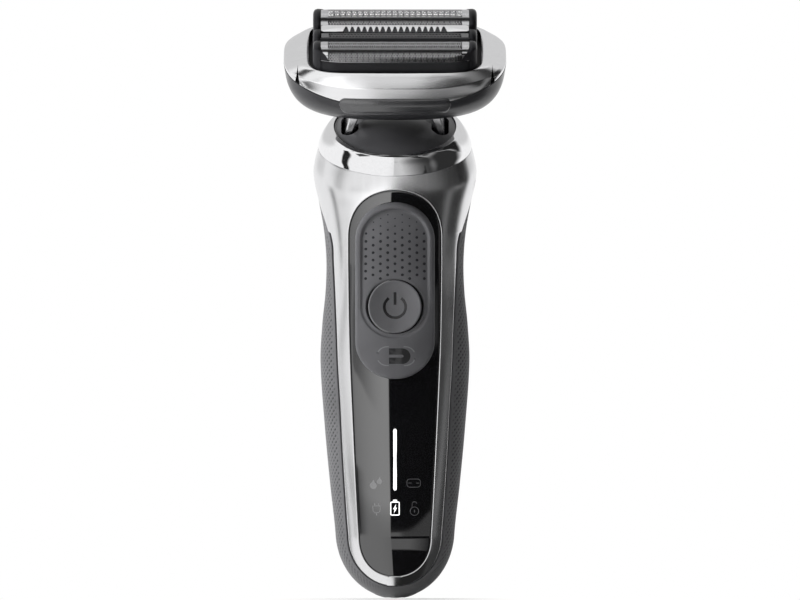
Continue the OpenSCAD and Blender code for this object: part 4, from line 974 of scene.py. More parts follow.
def stroke(path, width, lift, closed=False, place=beside):
    """Flat band of a width along a path of (x, height) points, laid on the handle's front or by place."""
    path = np.array(path, float)
    ahead = np.roll(path, -1, 0) - path
    back = path - np.roll(path, 1, 0)
    if not closed:
        ahead[-1], back[0] = back[-1], ahead[0]
    ahead, back = (step / np.linalg.norm(step, axis=1, keepdims=True) for step in (ahead, back))
    t = ahead + back
    t /= np.linalg.norm(t, axis=1, keepdims=True)
    side = np.stack([-t[:, 1], t[:, 0]], axis=1) * width / 2
    low = lift - MARK_THICK
    rows = [place(p[:, 0], p[:, 1], h) for p, h in
            ((path + side, low), (path + side, lift), (path - side, lift), (path - side, low))]
    obj = swept("stroke", rows, around=closed, over=True)
    return outward(obj) if closed else capped(obj, 8)


def patch(outline, lift, thick=MARK_THICK):
    """Flat filled shape of an outline of (x, height) points, laid on the handle's front."""
    outline = np.array(outline, float)
    middle = outline.mean(0)
    rows = []
    for share, height in ((1, lift - thick), (1, lift), (0.5, lift), (0.02, lift)):
        x, f = (middle + (outline - middle) * share).T
        rows.append(beside(x, f, height))
    return swept("patch", rows, caps=True)


def arc_path(cx, cz, r, start, end, steps=24):
    """Points on an arc between two angles in degrees."""
    k = np.radians(np.linspace(start, end, steps))
    return np.stack([cx + r * np.cos(k), cz + r * np.sin(k)], axis=1)


def stadium(w, h, cx, cz, r=None, steps=8):
    """Outline of a rectangle with rounded corners."""
    r = min(w, h) / 2 if r is None else r
    pts = [arc_path(cx + sx * (w/2 - r), cz + sz * (h/2 - r), r, a, a + 90, steps)
           for sx, sz, a in ((1, 1, 0), (-1, 1, 90), (-1, -1, 180), (1, -1, 270))]
    return np.concatenate(pts)


PANEL_TOP = -0.085      # height of the panel's surface over the handle's, for what is printed on it
FINE_LINE = 0.2         # width of the dim pictograms' lines


def battery_mark(z):
    """Battery with a bolt in it."""
    bolt = [(0.3, 1.25), (-0.55, -0.2), (-0.08, -0.2), (-0.28, -1.3), (0.55, 0.25), (0.1, 0.25)]
    return [stroke(stadium(2.3, 3.5, 0, z, 0.25), 0.27, PANEL_TOP, closed=True),
            patch(stadium(1.1, 0.5, 0, z + 2.15, 0.12), PANEL_TOP),
            patch([(x, z + up) for x, up in bolt], PANEL_TOP)]


def drop_marks(z):
    """Two drops of water, the larger one at the left."""
    drops = []
    for x, up, r in ((-5.9, 1.3, 0.95), (-4.2, 2.4, 0.72)):
        tip = [(x + 0.1 * r, z + up + 1.75 * r)]
        drops.append(patch(np.concatenate([arc_path(x, z + up, r, 120, 420, 20), tip]), PANEL_TOP))
    return drops


def cassette_mark(z):
    """Head of a shaver: a rounded box with a line through it."""
    return [stroke(stadium(3.7, 2.2, 5.1, z, 0.8), FINE_LINE, PANEL_TOP, closed=True),
            stroke([(3.6, z), (6.6, z)], FINE_LINE, PANEL_TOP)]


def plug_mark(x, z):
    """Round plug with two pins and a short cord."""
    cup = np.concatenate([arc_path(x, z, 1.0, 180, 360, 12), [(x + 1, z + 0.9), (x - 1, z + 0.9)]])
    parts = [stroke(cup, FINE_LINE, PANEL_TOP, closed=True)]
    parts += [stroke([(x + pin, z + 0.9), (x + pin, z + 1.7)], FINE_LINE, PANEL_TOP) for pin in (-0.5, 0.5)]
    return parts + [stroke([(x, z - 1.0), (x, z - 1.7)], FINE_LINE, PANEL_TOP)]


def padlock_mark(x, z):
    """Open padlock: a ring with a keyhole and a raised shackle."""
    shackle = np.concatenate([[(x - 0.65, z + 1.0)], arc_path(x, z + 1.9, 0.65, 180, 10, 12)])
    return [stroke(arc_path(x, z, 1.15, 0, 360, 32)[:-1], FINE_LINE, PANEL_TOP, closed=True),
            stroke(shackle, FINE_LINE, PANEL_TOP),
            stroke([(x, z + 0.35), (x, z - 0.35)], 0.26, PANEL_TOP)]


class SHAVER_OT_display_marks(bpy.types.Operator):
    """Light bar, lit battery pictogram and the dim pictograms beside it"""
    bl_idname = "shaver.display_marks"
    bl_label = "Display marks"

    def execute(self, context):
        (_, _, low), (_, _, high) = box_mm("light_bar")
        window = stadium(0.92, high - low, 0, (low + high) / 2)
        bar = patch(window, PANEL_TOP + 0.03, 0.08)
        bar.name = "light_bar_glow"
        settle_in(bar, "handle", "light_bar", "light_bar")

        z = low - 4.9
        settle_in(joined("battery_mark", battery_mark(z)), "handle", "light_bar")
        dim = drop_marks(low) + cassette_mark(low + 2)
        dim += plug_mark(-5.0, z - 0.2) + padlock_mark(5.3, z - 0.7)
        marks = settle_in(joined("dim_marks", dim), "handle", "panel_gloss")
        refinished(marks, moulded("dim pictogram", (0.12, 0.12, 0.125), 0.08, 0, ior=GLASS_IOR))
        return {"FINISHED"}


# ---- Slider and power button ----

SLIDER_R, SLIDER_LEN = 10.2, 47.6      # radius of the slider's ends, and its length
PAD_R, BUTTON_R = 8.6, 7.2             # radius of the pad sunk into it, and of the power button
LIFT_LOW, LIFT_TOP = 0.5, 1.7          # of the slider's underside and top over the handle's surface
SLIDER_TOP = HANDLE - PANEL_DROP - 3.1
SLIDER_HIGH = SLIDER_TOP - SLIDER_R                       # height of its upper end's centre
SLIDER_LOW = SLIDER_TOP - SLIDER_LEN + SLIDER_R           # and of its lower end's
BUTTON_Z = ARC_Z - 18.6


def capsule(r, low, high):
    """Loop of a round-ended bar of radius r, whose end centres are at the two heights."""
    k = np.linspace(0, np.pi, 120, endpoint=False)
    top = np.stack([r * np.sin(k - np.pi / 2), high + r * np.cos(k - np.pi / 2)], axis=1)
    bottom = np.stack([r * np.sin(k + np.pi / 2), low + r * np.cos(k + np.pi / 2)], axis=1)
    return np.concatenate([top, bottom])


def pad_floor(points):
    """Height of the sunk pad, which deepens towards its top."""
    foot = BUTTON_Z + 4
    along = np.clip((points[:, 1] - foot) / (SLIDER_HIGH + PAD_R - foot), 0, 1)
    return LIFT_TOP - 0.28 - 0.5 * along ** 1.5


def slider_plate():
    """Plate of the slider, from its rim over the sunk pad to the hole of the power button."""
    def edge(inset):
        return capsule(SLIDER_R - inset, SLIDER_LOW, SLIDER_HIGH)

    def pad(inset):
        return capsule(PAD_R - inset, BUTTON_Z, SLIDER_HIGH)

    def hole(inset):
        return capsule(BUTTON_R + 0.12 + inset, BUTTON_Z, BUTTON_Z)

    loops = [(edge(inset), lift) for inset, lift in (
        (0.25, LIFT_LOW), (0, LIFT_LOW + 0.2), (0.02, 1.0), (0.12, 1.32), (0.3, 1.52), (0.55, 1.64),
        (0.85, 1.69))]
    loops += [(lerp(edge(0.85), pad(-0.45), k), LIFT_TOP) for k in np.linspace(0, 1, 14)[1:]]
    loops.append((pad(-0.2), LIFT_TOP - 0.02))
    loops += [(pad(inset), lerp(LIFT_TOP, pad_floor(pad(inset)), share))
              for inset, share in ((0, 0.2), (0.12, 0.55), (0.28, 0.85), (0.5, 1.0))]
    for k in np.linspace(0, 1, 22)[1:]:
        points = lerp(pad(0.5), hole(0.18), k)
        loops.append((points, pad_floor(points)))
    loops += [(hole(0.04), LIFT_TOP - 0.36), (hole(0), LIFT_TOP - 0.6), (hole(0), LIFT_LOW)]
    rows = [beside(points[:, 0], points[:, 1], lift) for points, lift in loops]
    return outward(swept("lock_slider_plate", rows, over=True, smooth_under=50))


def pad_dots():
    """Staggered dots on the sunk pad, smaller towards its top and clear of its edge and the button."""
    dots = []
    k = np.radians(np.arange(0, 360, 45))
    for col in range(-4, 5):
        for row in range(11):
            x = col * 1.85
            z = BUTTON_Z + 7.6 + (row + (0.5 if col % 2 else 0)) * 2.0
            reach = math.hypot(x, z - BUTTON_Z) - BUTTON_R
            side = math.hypot(x, z - SLIDER_HIGH) if z > SLIDER_HIGH else abs(x)
            if reach < 0.9 or side > PAD_R - 0.9:
                continue
            size = 0.39 * np.clip((SLIDER_TOP - 1.0 - z) / 9, 0.45, 1)
            at = pad_floor(np.array([[x, z]]))[0]
            dx, dz = size * np.cos(k), size * np.sin(k)
            rows = [beside(x + dx, z + dz, at + 0.008), beside(x + dx * 0.55, z + dz * 0.55, at + 0.05)]
            dots.append(swept("dot", rows, caps=True))
    return joined("slider_dots", dots)


class SHAVER_OT_lock_slider(bpy.types.Operator):
    """Lock slider: a raised rim, a dotted pad sunk into it and a padlock pictogram"""
    bl_idname = "shaver.lock_slider"
    bl_label = "Lock slider"

    def execute(self, context):
        settle_in(slider_plate(), "slider", "slider_plastic", "lock_slider")
        dots = settle_in(pad_dots(), "slider", "slider_plastic")
        # the dots' near-black colour is painted shade, standing in for the shade in the pad's dimples
        refinished(dots, moulded("pad dot painted shade", (0.022, 0.022, 0.025), 0.5, 0, specular=0.2))

        z, lift = SLIDER_LOW - 4.0, LIFT_TOP + 0.012
        # the outline's lighter grey is a painted highlight along the raised rim of the pictogram
        outline = stroke(stadium(9.6, 5.1, 0.3, z), 0.3, lift, closed=True)
        outline.name = "slider_lock_outline"
        settle_in(outline, "slider", "slider_plastic")
        refinished(outline, moulded("lock outline painted highlight", (0.2, 0.2, 0.21), 0.4, 0))
        leg, bow = -1.5, 1.25
        path = np.concatenate([[(leg, z + bow)], arc_path(1.75, z, bow, 90, -90, 20), [(leg, z - bow)]])
        shackle = stroke(path, 1.72, lift + 0.004)
        shackle.name = "slider_lock_mark"
        settle_in(shackle, "slider", "slider_plastic")
        refinished(shackle, moulded("lock mark", (0.008, 0.008, 0.009), 0.3, 0))
        return {"FINISHED"}


class SHAVER_OT_power_button(bpy.types.Operator):
    """Dished power button with its symbol let into the dish"""
    bl_idname = "shaver.power_button"
    bl_label = "Power button"

    def execute(self, context):
        lo, hi = box_mm("power_button")
        front, z = lo[1], (lo[2] + hi[2]) / 2
        r, top = BUTTON_R, 0.9
        rim = 0.94 * r

        def dish(radius):
            return 0.28 + 0.6 * (radius / rim) ** 2

        profile = [(0.01, 0.0), (r - 0.1, 0.0), (r, 0.12), (r, 0.62), (r - 0.05, 0.78), (r - 0.16, 0.87),
                   (r - 0.3, top)]
        profile += [(k, dish(k)) for k in np.linspace(rim, 0.05, 22)]
        base = front + top
        obj = turned("power_button_cap", profile, (0, base, z), (0, -1, 0), 96, 50)
        settle_in(obj, "button", "button_plastic", "power_button")

        def on_dish(x, h, lift):
            radius = np.hypot(x, h - z)
            return np.stack([x, base - dish(radius) - lift * np.ones_like(x), h], axis=-1)

        ring = stroke(arc_path(0, z - 0.1, 2.9, 125, 415, 60), 0.72, 0.012, place=on_dish)
        line = stroke([(0, z + 0.5), (0, z + 2.2), (0, z + 3.9)], 0.74, 0.014, place=on_dish)
        mark = settle_in(joined("power_symbol", [ring, line]), "button", "button_plastic")
        refinished(mark, moulded("power mark", (0.006, 0.006, 0.007), 0.25, 0))
        return {"FINISHED"}


class SHAVER_OT_release_button(bpy.types.Operator):
    """Button at the back that frees the head, with a raised rib across it"""
    bl_idname = "shaver.release_button"
    bl_label = "Head release button"

    def execute(self, context):
        lo, hi = box_mm("head_release_button")
        cx, cz = (lo[0] + hi[0]) / 2, (lo[2] + hi[2]) / 2
        w, h, back = hi[0] - lo[0], hi[2] - lo[2], hi[1]
        rows = []
        for inset, y in ((0, lo[1]), (0, back - 0.5), (0.1, back - 0.22), (0.35, back - 0.05), (0.7, back),
                         (1.4, back - 0.12), (2.2, back - 0.2), (3.0, back - 0.22), (3.5, back - 0.22)):
            pts = stadium(w - 2 * inset, h - 2 * inset, cx, cz, max(0.1, h / 2 - inset - 0.01))
            rows.append(np.stack([pts[:, 0], np.full(len(pts), y), pts[:, 1]], axis=-1))
        obj = outward(swept("head_release_cap", rows, caps=True, smooth_under=50))
        settle_in(obj, "head_release", "release_button", "head_release_button")
        return {"FINISHED"}


# ---- Neck ----

def head_loops(rows, points=192):
    """Ellipses in the head's frame from their half widths, half depths and heights."""
    return [in_head(*oval(a, b, points=points), w) for a, b, w in rows]


MOUTH_R = 16.6                       # radius of the collar's mouth
HEAD_GAP = 7.0                       # height of the head's floor over that mouth
HEAD_W, HEAD_D = 60.2, 33.6          # width and depth of the head
SEAM_W, SEAM_RISE = 16.2, 5.0        # height of the cassette's seam, and its climb to the ends


def collar_ring():
    """Collar from its seam with the handle, in over a bright facet, and down inside its mouth."""
    a, b, h = COLLAR_W / 2, COLLAR_D / 2, COLLAR_H
    r, v = MOUTH_R, MOUTH_R - 0.8
    top_a, top_b = r + 1.1, v + 1
    rows = head_loops([
        (a - 1.6, b - 1.4, -h + GAP), (a - 0.12, b - 0.1, -h + GAP), (a, b, -h + 0.25),
        (a - 0.2, b - 0.02, -0.76 * h), (lerp(a, top_a, 0.32), lerp(b, top_b, 0.1), -0.46 * h),
        (lerp(a, top_a, 0.7), lerp(b, top_b, 0.5), -0.2 * h), (top_a, v + 0.75, -0.5)])
    outer = rows[:2] + smooth_rows(rows[2:], 5)
    inner = head_loops([(r + 0.06, v + 0.06, -0.02), (r, v, -0.1), (r, v, -1.5)])
    rows = eased(outer + inner, [0] * (len(outer) - 1) + [0.16, 0.16, 0.05, 0], 4)
    return swept("collar_ring_polished", rows, smooth_under=28)


def neck_dome():
    """Hollow dome in the collar's mouth, slotted for the two arms."""
    a, b = MOUTH_R - 0.1, MOUTH_R - 0.9
    edge, crown, wall = -0.6, 2.6, 1.1
    share = np.linspace(1, 0.02, 30)
    rows = head_loops([(a, b, edge - 0.9), (a, b, edge - 0.25), (a - 0.08, b - 0.08, edge - 0.05)]
                      + [(a * k - 0.25 * k, b * k - 0.25 * k, edge + crown * (1 - k * k)) for k in share]
                      + [((a - 1) * k, (b - 1) * k, edge + crown * (1 - k * k) - wall) for k in share[::-1]]
                      + [(a - 1, b - 1, edge - 0.9)], 144)
    dome = outward(swept("neck_dome_cover", rows, over=True, smooth_under=45))
    slot = stadium(4.7, 10.6, 0, 0, 2.34)
    cuts = [swept("slot", [in_head(slot[:, 0] + s * 12.25, slot[:, 1], w) for w in (-5, 5)], caps=True)
            for s in (-1, 1)]
    return carved(dome, cuts, 45)


class SHAVER_OT_collar(bpy.types.Operator):
    """Polished collar ring with a bright facet round its mouth, and the domed cover inside it"""
    bl_idname = "shaver.collar"
    bl_label = "Collar"

    def execute(self, context):
        settle_in(collar_ring(), "neck_module", "chrome_ring", "collar_ring")
        settle_in(neck_dome(), "neck_module", "neck_plastic", "neck_dome")
        return {"FINISHED"}


# the arm's stations: outer x, inner x, half depth and height
ARM = ((14.05, 12.3, 4.35, -4.3), (14.05, 12.2, 4.35, -2.9), (12.7, 9.6, 4.15, 3.4), (12.0, 8.3, 4.0, 7.2),
       (11.9, 8.25, 3.4, 8.2), (11.4, 8.2, 3.2, 9.2), (11.4, 8.2, 3.2, 13.2))
# the web's outline in x and height
WEB = ((11.8, 2.1), (9.4, 2.9), (7.7, 4.1), (7.7, 5.6), (8.4, 5.8), (8.6, 7.4), (11.4, 7.4))


def pivot_eye(name, bore, r, low, high, centre, axis, points):
    """Ring with eased edges round a bore, from low to high along its axis."""
    ease = 0.2
    profile = [(bore, low), (r - ease, low), (r, low + ease),
               (r, high - ease), (r - ease, high), (bore, high)]
    return turned(name, profile, centre, axis, points)


def yoke_arm(s):
    """One arm on side s, chamfered, with its eye and its two webs."""
    small, large = 0.35, 1.05        # chamfers of its outer and its inner corners
    rows = []
    for outer, inner, v, w in ARM:
        ring = [(outer, -v + small), (outer - small, -v), (inner + large, -v), (inner, -v + large),
                (inner, v - large), (inner + large, v), (outer - small, v), (outer, v - small)]
        rows.append(in_head([s * p[0] for p in ring], [p[1] for p in ring], w))
    arm = outward(swept("arm", rows, caps=True, smooth_under=25))
    eye = pivot_eye("eye", 1.56, 3.2, 8.2, 11.4, in_head(0, 0, AXLE_W), (s, 0, 0), 48)
    webs = [beveled(prism("web", [(s * x, w) for x, w in WEB], v0, v1, in_head), 0.18, 2)
            for v0, v1 in ((-3.75, -2.9), (2.9, 3.75))]
    return [arm, eye, *webs]


class SHAVER_OT_arms(bpy.types.Operator):
    """The yoke's two chrome arms, chamfered, with the webs that face the front"""
    bl_idname = "shaver.arms"
    bl_label = "Arms"

    def execute(self, context):
        parts = [block("bar", (-13.9, -4.2, -4.4), (13.9, 4.2, -2.9), in_head, 0.3),
                 pivot_eye("boss", 1.36, 2.4, -5.8, 5.8, in_head(0, 0, -2.3), FORE, 40)]
        parts += yoke_arm(-1) + yoke_arm(1)
        settle_in(joined("neck_yoke_arms", parts, 25), "yoke", "chrome_arm", "neck_yoke")
        return {"FINISHED"}


# ---- Head ----

LEVEL_X = 12       # half width of the middle stretch in which the head's lines stay level


def climb(x):
    """Share of the way up that a line of the head has climbed x beside the middle."""
    return (np.maximum(0, np.abs(x) - LEVEL_X) / (HEAD_W / 2 - LEVEL_X)) ** 1.4


def rising_loop(a, b, n, low, high):
    """Loop round the head whose height goes from low in front and behind to high at the ends."""
    x, v = oval(a, b, n, 256)
    return in_head(x, v, lerp(low, high, climb(x * HEAD_W / 2 / a)))


# the head base's stations: inset in x and in v, squareness, height and share of the seam's climb
BASE_ROWS = [(12, 8.2, 2.7, HEAD_GAP, 0), (8.5, 6.3, 2.8, HEAD_GAP + 0.8, 0),
             (4.9, 3.9, 2.9, HEAD_GAP + 2.4, 0.05), (2.3, 1.8, 3, HEAD_GAP + 4.6, 0.2),
             (0.7, 0.5, 3.1, HEAD_GAP + 7, 0.5), (0, 0, 3.2, SEAM_W, 1)]
HEAD_SQUARE = 3.2        # squareness of the head at its seam
HEAD_X, HEAD_V = HEAD_W / 2, HEAD_D / 2


def base_shell():
    """Hollow base of the head, from the middle of its floor out, over its rim and in again."""
    wall = 1.5
    floor = [rising_loop((HEAD_X - 12) * k, (HEAD_V - 8.2) * k, 2.7 - 0.5 * (1 - k), HEAD_GAP, HEAD_GAP)
             for k in (0.04, 0.4, 0.75, 0.94)]
    outer = smooth_rows([rising_loop(HEAD_X - x, HEAD_V - v, n, w, w + share * SEAM_RISE)
                         for x, v, n, w, share in BASE_ROWS], 6)
    rim = [rising_loop(HEAD_X - k, HEAD_V - k, HEAD_SQUARE, SEAM_W + h, SEAM_W + SEAM_RISE + h)
           for k, h in ((0.12, 0.1), (0.35, 0.1), (0.9, -0.1))]
    inside = []
    for x, v, n, w, share in BASE_ROWS[:0:-1]:
        low = max(w, HEAD_GAP + wall)
        inside.append(rising_loop(HEAD_X - x - wall, HEAD_V - v - wall, n, low, low + share * SEAM_RISE))
    top = HEAD_GAP + wall
    deep = [rising_loop((HEAD_X - 10) * k, (HEAD_V - 7.8) * k, 2.6, top, top) for k in (0.6, 0.04)]
    rows = floor + outer + rim + inside + deep
    shell = outward(swept("head_base_shell", rows, caps=True, smooth_under=40))
    cuts = []
    for s in (-1, 1):
        lo, hi = sorted((s * 7.9, s * 12.5))
        cuts.append(block("slot", (lo, -6.4, 0), (hi, 6.4, 10.9), in_head, 0.5))
        lo, hi = sorted((s * (HEAD_X - 6), s * (HEAD_X + 4)))
        cuts.append(block("opening", (lo, -5.3, HEAD_GAP + 5.1), (hi, 5.3, HEAD_GAP + 10.7), in_head, 0.6))
    return carved(shell, cuts, 40)


def front_tab():
    """Glossy tab over the seam in front, with a fine groove where the seam runs under it."""
    groove, high, square = (-0.12, 0.0, 0.12), 1.45, 3.1
    rows = []
    for up, half in ((-3.2, 12.6), (-2.95, 13.3), (-2.4, 13.9), (-1.5, 14.4), (-0.3, 14.8), (-0.12, 14.86),
                     (0.0, 14.88), (0.12, 14.86), (0.7, 14.7), (1.15, 14.3), (high, 13.7)):
        w = SEAM_W + up
        v = np.interp(min(w, SEAM_W), [r[3] for r in BASE_ROWS], [HEAD_V - r[1] for r in BASE_ROWS])
        out = 0.92 - (0.16 if up in groove else 0) - 0.66 * max(0, up / high) ** 1.3
        x = half * np.linspace(-1, 1, 61)
        rows.append(in_head(x, -(v + out) * (1 - (np.abs(x) / HEAD_X) ** square) ** (1 / square), w))
    tab = swept("front_tab_plate", rows, around=False, smooth_under=40)
    return roll_edges(tab, 0.28, 0.8, 3, 40)


class SHAVER_OT_head_base(bpy.types.Operator):
    """Dark base of the head, open for the arms and the two side buttons, and its front tab"""
    bl_idname = "shaver.head_base"
    bl_label = "Head base"

    def execute(self, context):
        settle_in(base_shell(), "head", "head_plastic", "head_base")
        settle_in(front_tab(), "head", "tab_gloss", "front_tab")
        return {"FINISHED"}


class SHAVER_OT_side_buttons(bpy.types.Operator):
    """Two ribbed buttons at the head's ends that free the cassette"""
    bl_idname = "shaver.side_buttons"
    bl_label = "Side buttons"

    def execute(self, context):
        low, high, half = HEAD_GAP + 5.4, HEAD_GAP + 10.4, 5.0
        w = np.linspace(low, high, 26)
        v = np.linspace(-half, half, 31)
        off = w - (low + high) / 2
        edge = np.interp(w, [level + share * SEAM_RISE for _, _, _, level, share in BASE_ROWS],
                         [HEAD_X - inset for inset, _, _, _, _ in BASE_ROWS])
        rib = 0.13 * np.clip(np.cos(off * 2 * np.pi), -0.2, 1) * (np.abs(off) < 1.7)
        face = edge[:, None] - 0.12 + rib[:, None] - 0.5 * (np.abs(v)[None, :] / half) ** 5
        corner = 1 - ((np.abs(off) / ((high - low) / 2))[:, None] ** 8) * 0.05
        for s, side in ((-1, "left"), (1, "right")):
            points = in_head(s * face, v[None, :] * corner, w[:, None])
            obj = swept("button", list(points if s > 0 else points[:, ::-1]), around=False, smooth_under=40)
            roll_edges(obj, 0.2, 1.2, 3, 40)
            obj.name = f"release_button_{side}_cap"
            settle_in(obj, f"release_{side}", "side_button", f"release_button_{side}")
        return {"FINISHED"}


# ---- Cassette ----

LIP_W, LIP_X, LIP_V = 24.3, 23.3, 13.5           # height and half sizes of the frame's mouth
FOIL_R, FOIL_LEN = 5.0, 40.2                     # radius and length of a foil
FOIL_PITCH, FOIL_W = 8.8, 25.5                   # its middle from the head's, and its axis' height
HOLDER_LEN, HOLDER_W, TRIMMER_W = 44.4, 8.2, 7.2     # length of the holders, and their widths
HOLDER_LOW = 23.4                                # height of their lower edges
UNITS = (("front", -FOIL_PITCH, -1), ("rear", FOIL_PITCH, 1))     # name, middle and outer side


class SHAVER_OT_cassette_frame(bpy.types.Operator):
    """Chrome frame of the cassette: two facets in front, a wing at each end and a dark slot between"""
    bl_idname = "shaver.cassette_frame"
    bl_label = "Cassette frame"

    def execute(self, context):
        end = SEAM_W + SEAM_RISE
        rows = [
            rising_loop(HEAD_X - 0.05, HEAD_V - 0.05, HEAD_SQUARE, SEAM_W + 0.2, end + 0.2),
            rising_loop(HEAD_X, HEAD_V - 0.13, HEAD_SQUARE, SEAM_W + 1.6, end + 0.7),
            rising_loop(HEAD_X - 0.15, HEAD_V - 0.32, 3.25, SEAM_W + 3.2, end + 1.0),
            rising_loop(HEAD_X - 1.1, HEAD_V - 0.5, 3.4, SEAM_W + 4.5, end + 1.5),
            rising_loop(LIP_X + 2.6, LIP_V + 1.42, 4.2, LIP_W - 1.45, LIP_W - 0.2),
            rising_loop(LIP_X + 0.8, LIP_V + 0.5, 5.2, LIP_W, LIP_W),
            rising_loop(LIP_X, LIP_V, 6, LIP_W - 0.15, LIP_W - 0.15),
            rising_loop(LIP_X, LIP_V, 6, LIP_W - 1.1, LIP_W - 1.1),
            rising_loop(LIP_X + 1.6, LIP_V + 0.8, 5.2, LIP_W - 2.2, LIP_W - 1.6),
            rising_loop(LIP_X + 3, LIP_V + 1.3, 4.4, SEAM_W + 4, end + 1.2),
            rising_loop(HEAD_X - 1.5, HEAD_V - 1.5, HEAD_SQUARE, SEAM_W + 0.2, end + 0.2)]
        reach = [0.12, 0.5, 0.7, 0.2, 0.6, 0.25, 0.15, 0.1, 0.2, 0.2, 0.1]
        rows = eased(rows, reach, 4, ring=True)
        obj = outward(swept("cassette_frame_chrome", rows, over=True, smooth_under=30))
        notch = [(26.3, LIP_W - 0.7), (25.2, SEAM_W), (27.9, SEAM_W)]
        cuts = [prism("wedge", [(s * x, w) for x, w in notch], -21.5, -1.5, in_head) for s in (-1, 1)]
        carved(obj, cuts, 30)
        settle_in(obj, "cassette", "chrome_frame", "cassette_frame")
        return {"FINISHED"}


LIP_SPACE = (23.0, 13.2)     # half width and half depth of the mouth that the floating units stand in


def within_lip(points, grow=0.0):
    """Points of the head pressed in to the rounded mouth of the cassette, made deeper by grow."""
    shift = points - MOUTH
    x, v, w = shift[..., 0], shift @ FORE, shift @ LIFT
    half, deep = LIP_SPACE
    limit = deep * np.maximum(0, 1 - np.minimum(1, np.abs(x) / half) ** 6) ** (1 / 6) + grow
    return in_head(x, np.clip(v, -limit, limit), w)


def tombstone(half, radius, low, inset):
    """Outline in (v, w) of a round-topped holder end, shrunk by inset."""
    reach = math.asin(min(1, half / radius))
    k = np.linspace(-reach, reach, 40)
    top = np.stack([(radius - inset) * np.sin(k), (radius - inset) * np.cos(k)], axis=1)
    limit = half - inset
    top[:, 0] = np.clip(top[:, 0], -limit, limit)
    return np.concatenate([[(-limit, low + inset)], top, [(limit, low + inset)]])


def end_caps(v, half, radius, low, centre):
    """Two domed end blocks of a floating holder."""
    cap = (HOLDER_LEN - FOIL_LEN) / 2
    dome = [(0.06, 0.12), (0.2, 0.0), (cap * 0.45, 0.0), (cap * 0.7, 0.14),
            (cap * 0.86, 0.42), (cap * 0.96, 0.9), (cap, 1.5)]       # how far out, and how much smaller
    parts = []
    for s in (-1, 1):
        rows = []
        for out, inset in dome:
            pts = tombstone(half, radius, low - centre, inset)
            rows.append(within_lip(in_head(s * (FOIL_LEN / 2 + out), v + pts[:, 0], centre + pts[:, 1])))
        parts.append(outward(swept("end", rows, caps=True, smooth_under=45)))
    return parts


def rail(name, profile, half):
    """Strip of a (v, w) profile along the head from -half to half, bent in with the cassette's mouth."""
    x = np.linspace(-half, half, 60)
    v, w = np.array(profile).T
    rows = [within_lip(in_head(np.full(len(v), k), v, w)) for k in x]
    return outward(swept(name, rows, caps=True, smooth_under=45))


def holder_shell(v, face):
    """End blocks and rails of a foil's holder, whose outer rail is lower."""
    half, radius = HOLDER_W / 2, FOIL_R + 0.2
    low = HOLDER_LOW
    parts = end_caps(v, half, radius, low, FOIL_W)
    top = FOIL_W + (radius - 0.2) * math.cos(math.asin(min(1, (half - 0.05) / radius))) - 0.06
    for side in (-1, 1):
        high = 26.9 if side == face else top
        a, b = v + side * half, v + side * (half - 0.6)
        profile = [(a, low), (a, high - 0.25), (lerp(a, b, 0.2), high - 0.06), (lerp(a, b, 0.5), high),
                   (b, high), (b, low)]
        parts.append(rail("rail", profile, FOIL_LEN / 2 + 0.1))
    return parts


def holder_corners(v, face):
    """Two corner pieces that sweep over the ends of a foil's outer side."""
    round_foil = np.linspace(16 * FOIL_DEG, FLANK_END - 0.05, 24)
    share = (round_foil - round_foil[0]) / (round_foil[-1] - round_foil[0])
    inner = FOIL_LEN / 2 - 0.05 - 2.2 * share ** 1.5
    outer = np.full(len(round_foil), FOIL_LEN / 2 + 0.2)
    corners = []
    for s in (-1, 1):
        rows = [foil_place(v)(s * x, face * round_foil, lift)
                for x, lift in ((outer, 0.03), (outer, 0.14), (inner, 0.14), (inner, 0.03))]
        corners.append(outward(swept("corner", rows, around=False, over=True)))
    return corners


class SHAVER_OT_holders(bpy.types.Operator):
    """The floating holders of the two foils, with the swept corners that frame each foil"""
    bl_idname = "shaver.holders"
    bl_label = "Holders"

    def execute(self, context):
        for name, v, face in UNITS:
            body = name + "_unit"
            settle_in(joined(name + "_holder_shell", holder_shell(v, face), 45), body, "holder_plastic",
                      name + "_foil_holder")
            settle_in(joined(name + "_holder_corners", holder_corners(v, face)), body, "holder_plastic")
        return {"FINISHED"}


FOIL_DEG = FOIL_R * math.pi / 180            # millimetres of foil in a degree
FLANK_AT = 54 * FOIL_DEG                     # from the crest to where the foil runs straight down
FLANK_END = FLANK_AT + 1.45


def foil_place(v):
    """Place on a foil whose middle is at v: along it, round it from its crest and over it."""
    def place(u, s, lift):
        s = np.asarray(s, float)
        bent = np.clip(s, -FLANK_AT, FLANK_AT)
        a, r = bent / FOIL_R, FOIL_R + np.asarray(lift, float)
        down = np.abs(s) - np.abs(bent)
        spot = in_head(u, v + r * np.sin(a) + np.sign(s) * 0.04 * down, FOIL_W + r * np.cos(a) - down)
        return within_lip(spot, np.asarray(lift, float) - 0.2)
    return place


HEXAGON = ((0, 2/3), (0.5, 1/3), (0.5, -1/3), (0, -2/3), (-0.5, -1/3), (-0.5, 1/3))   # a cell, in steps
SHEET = 0.1       # thickness of the foils


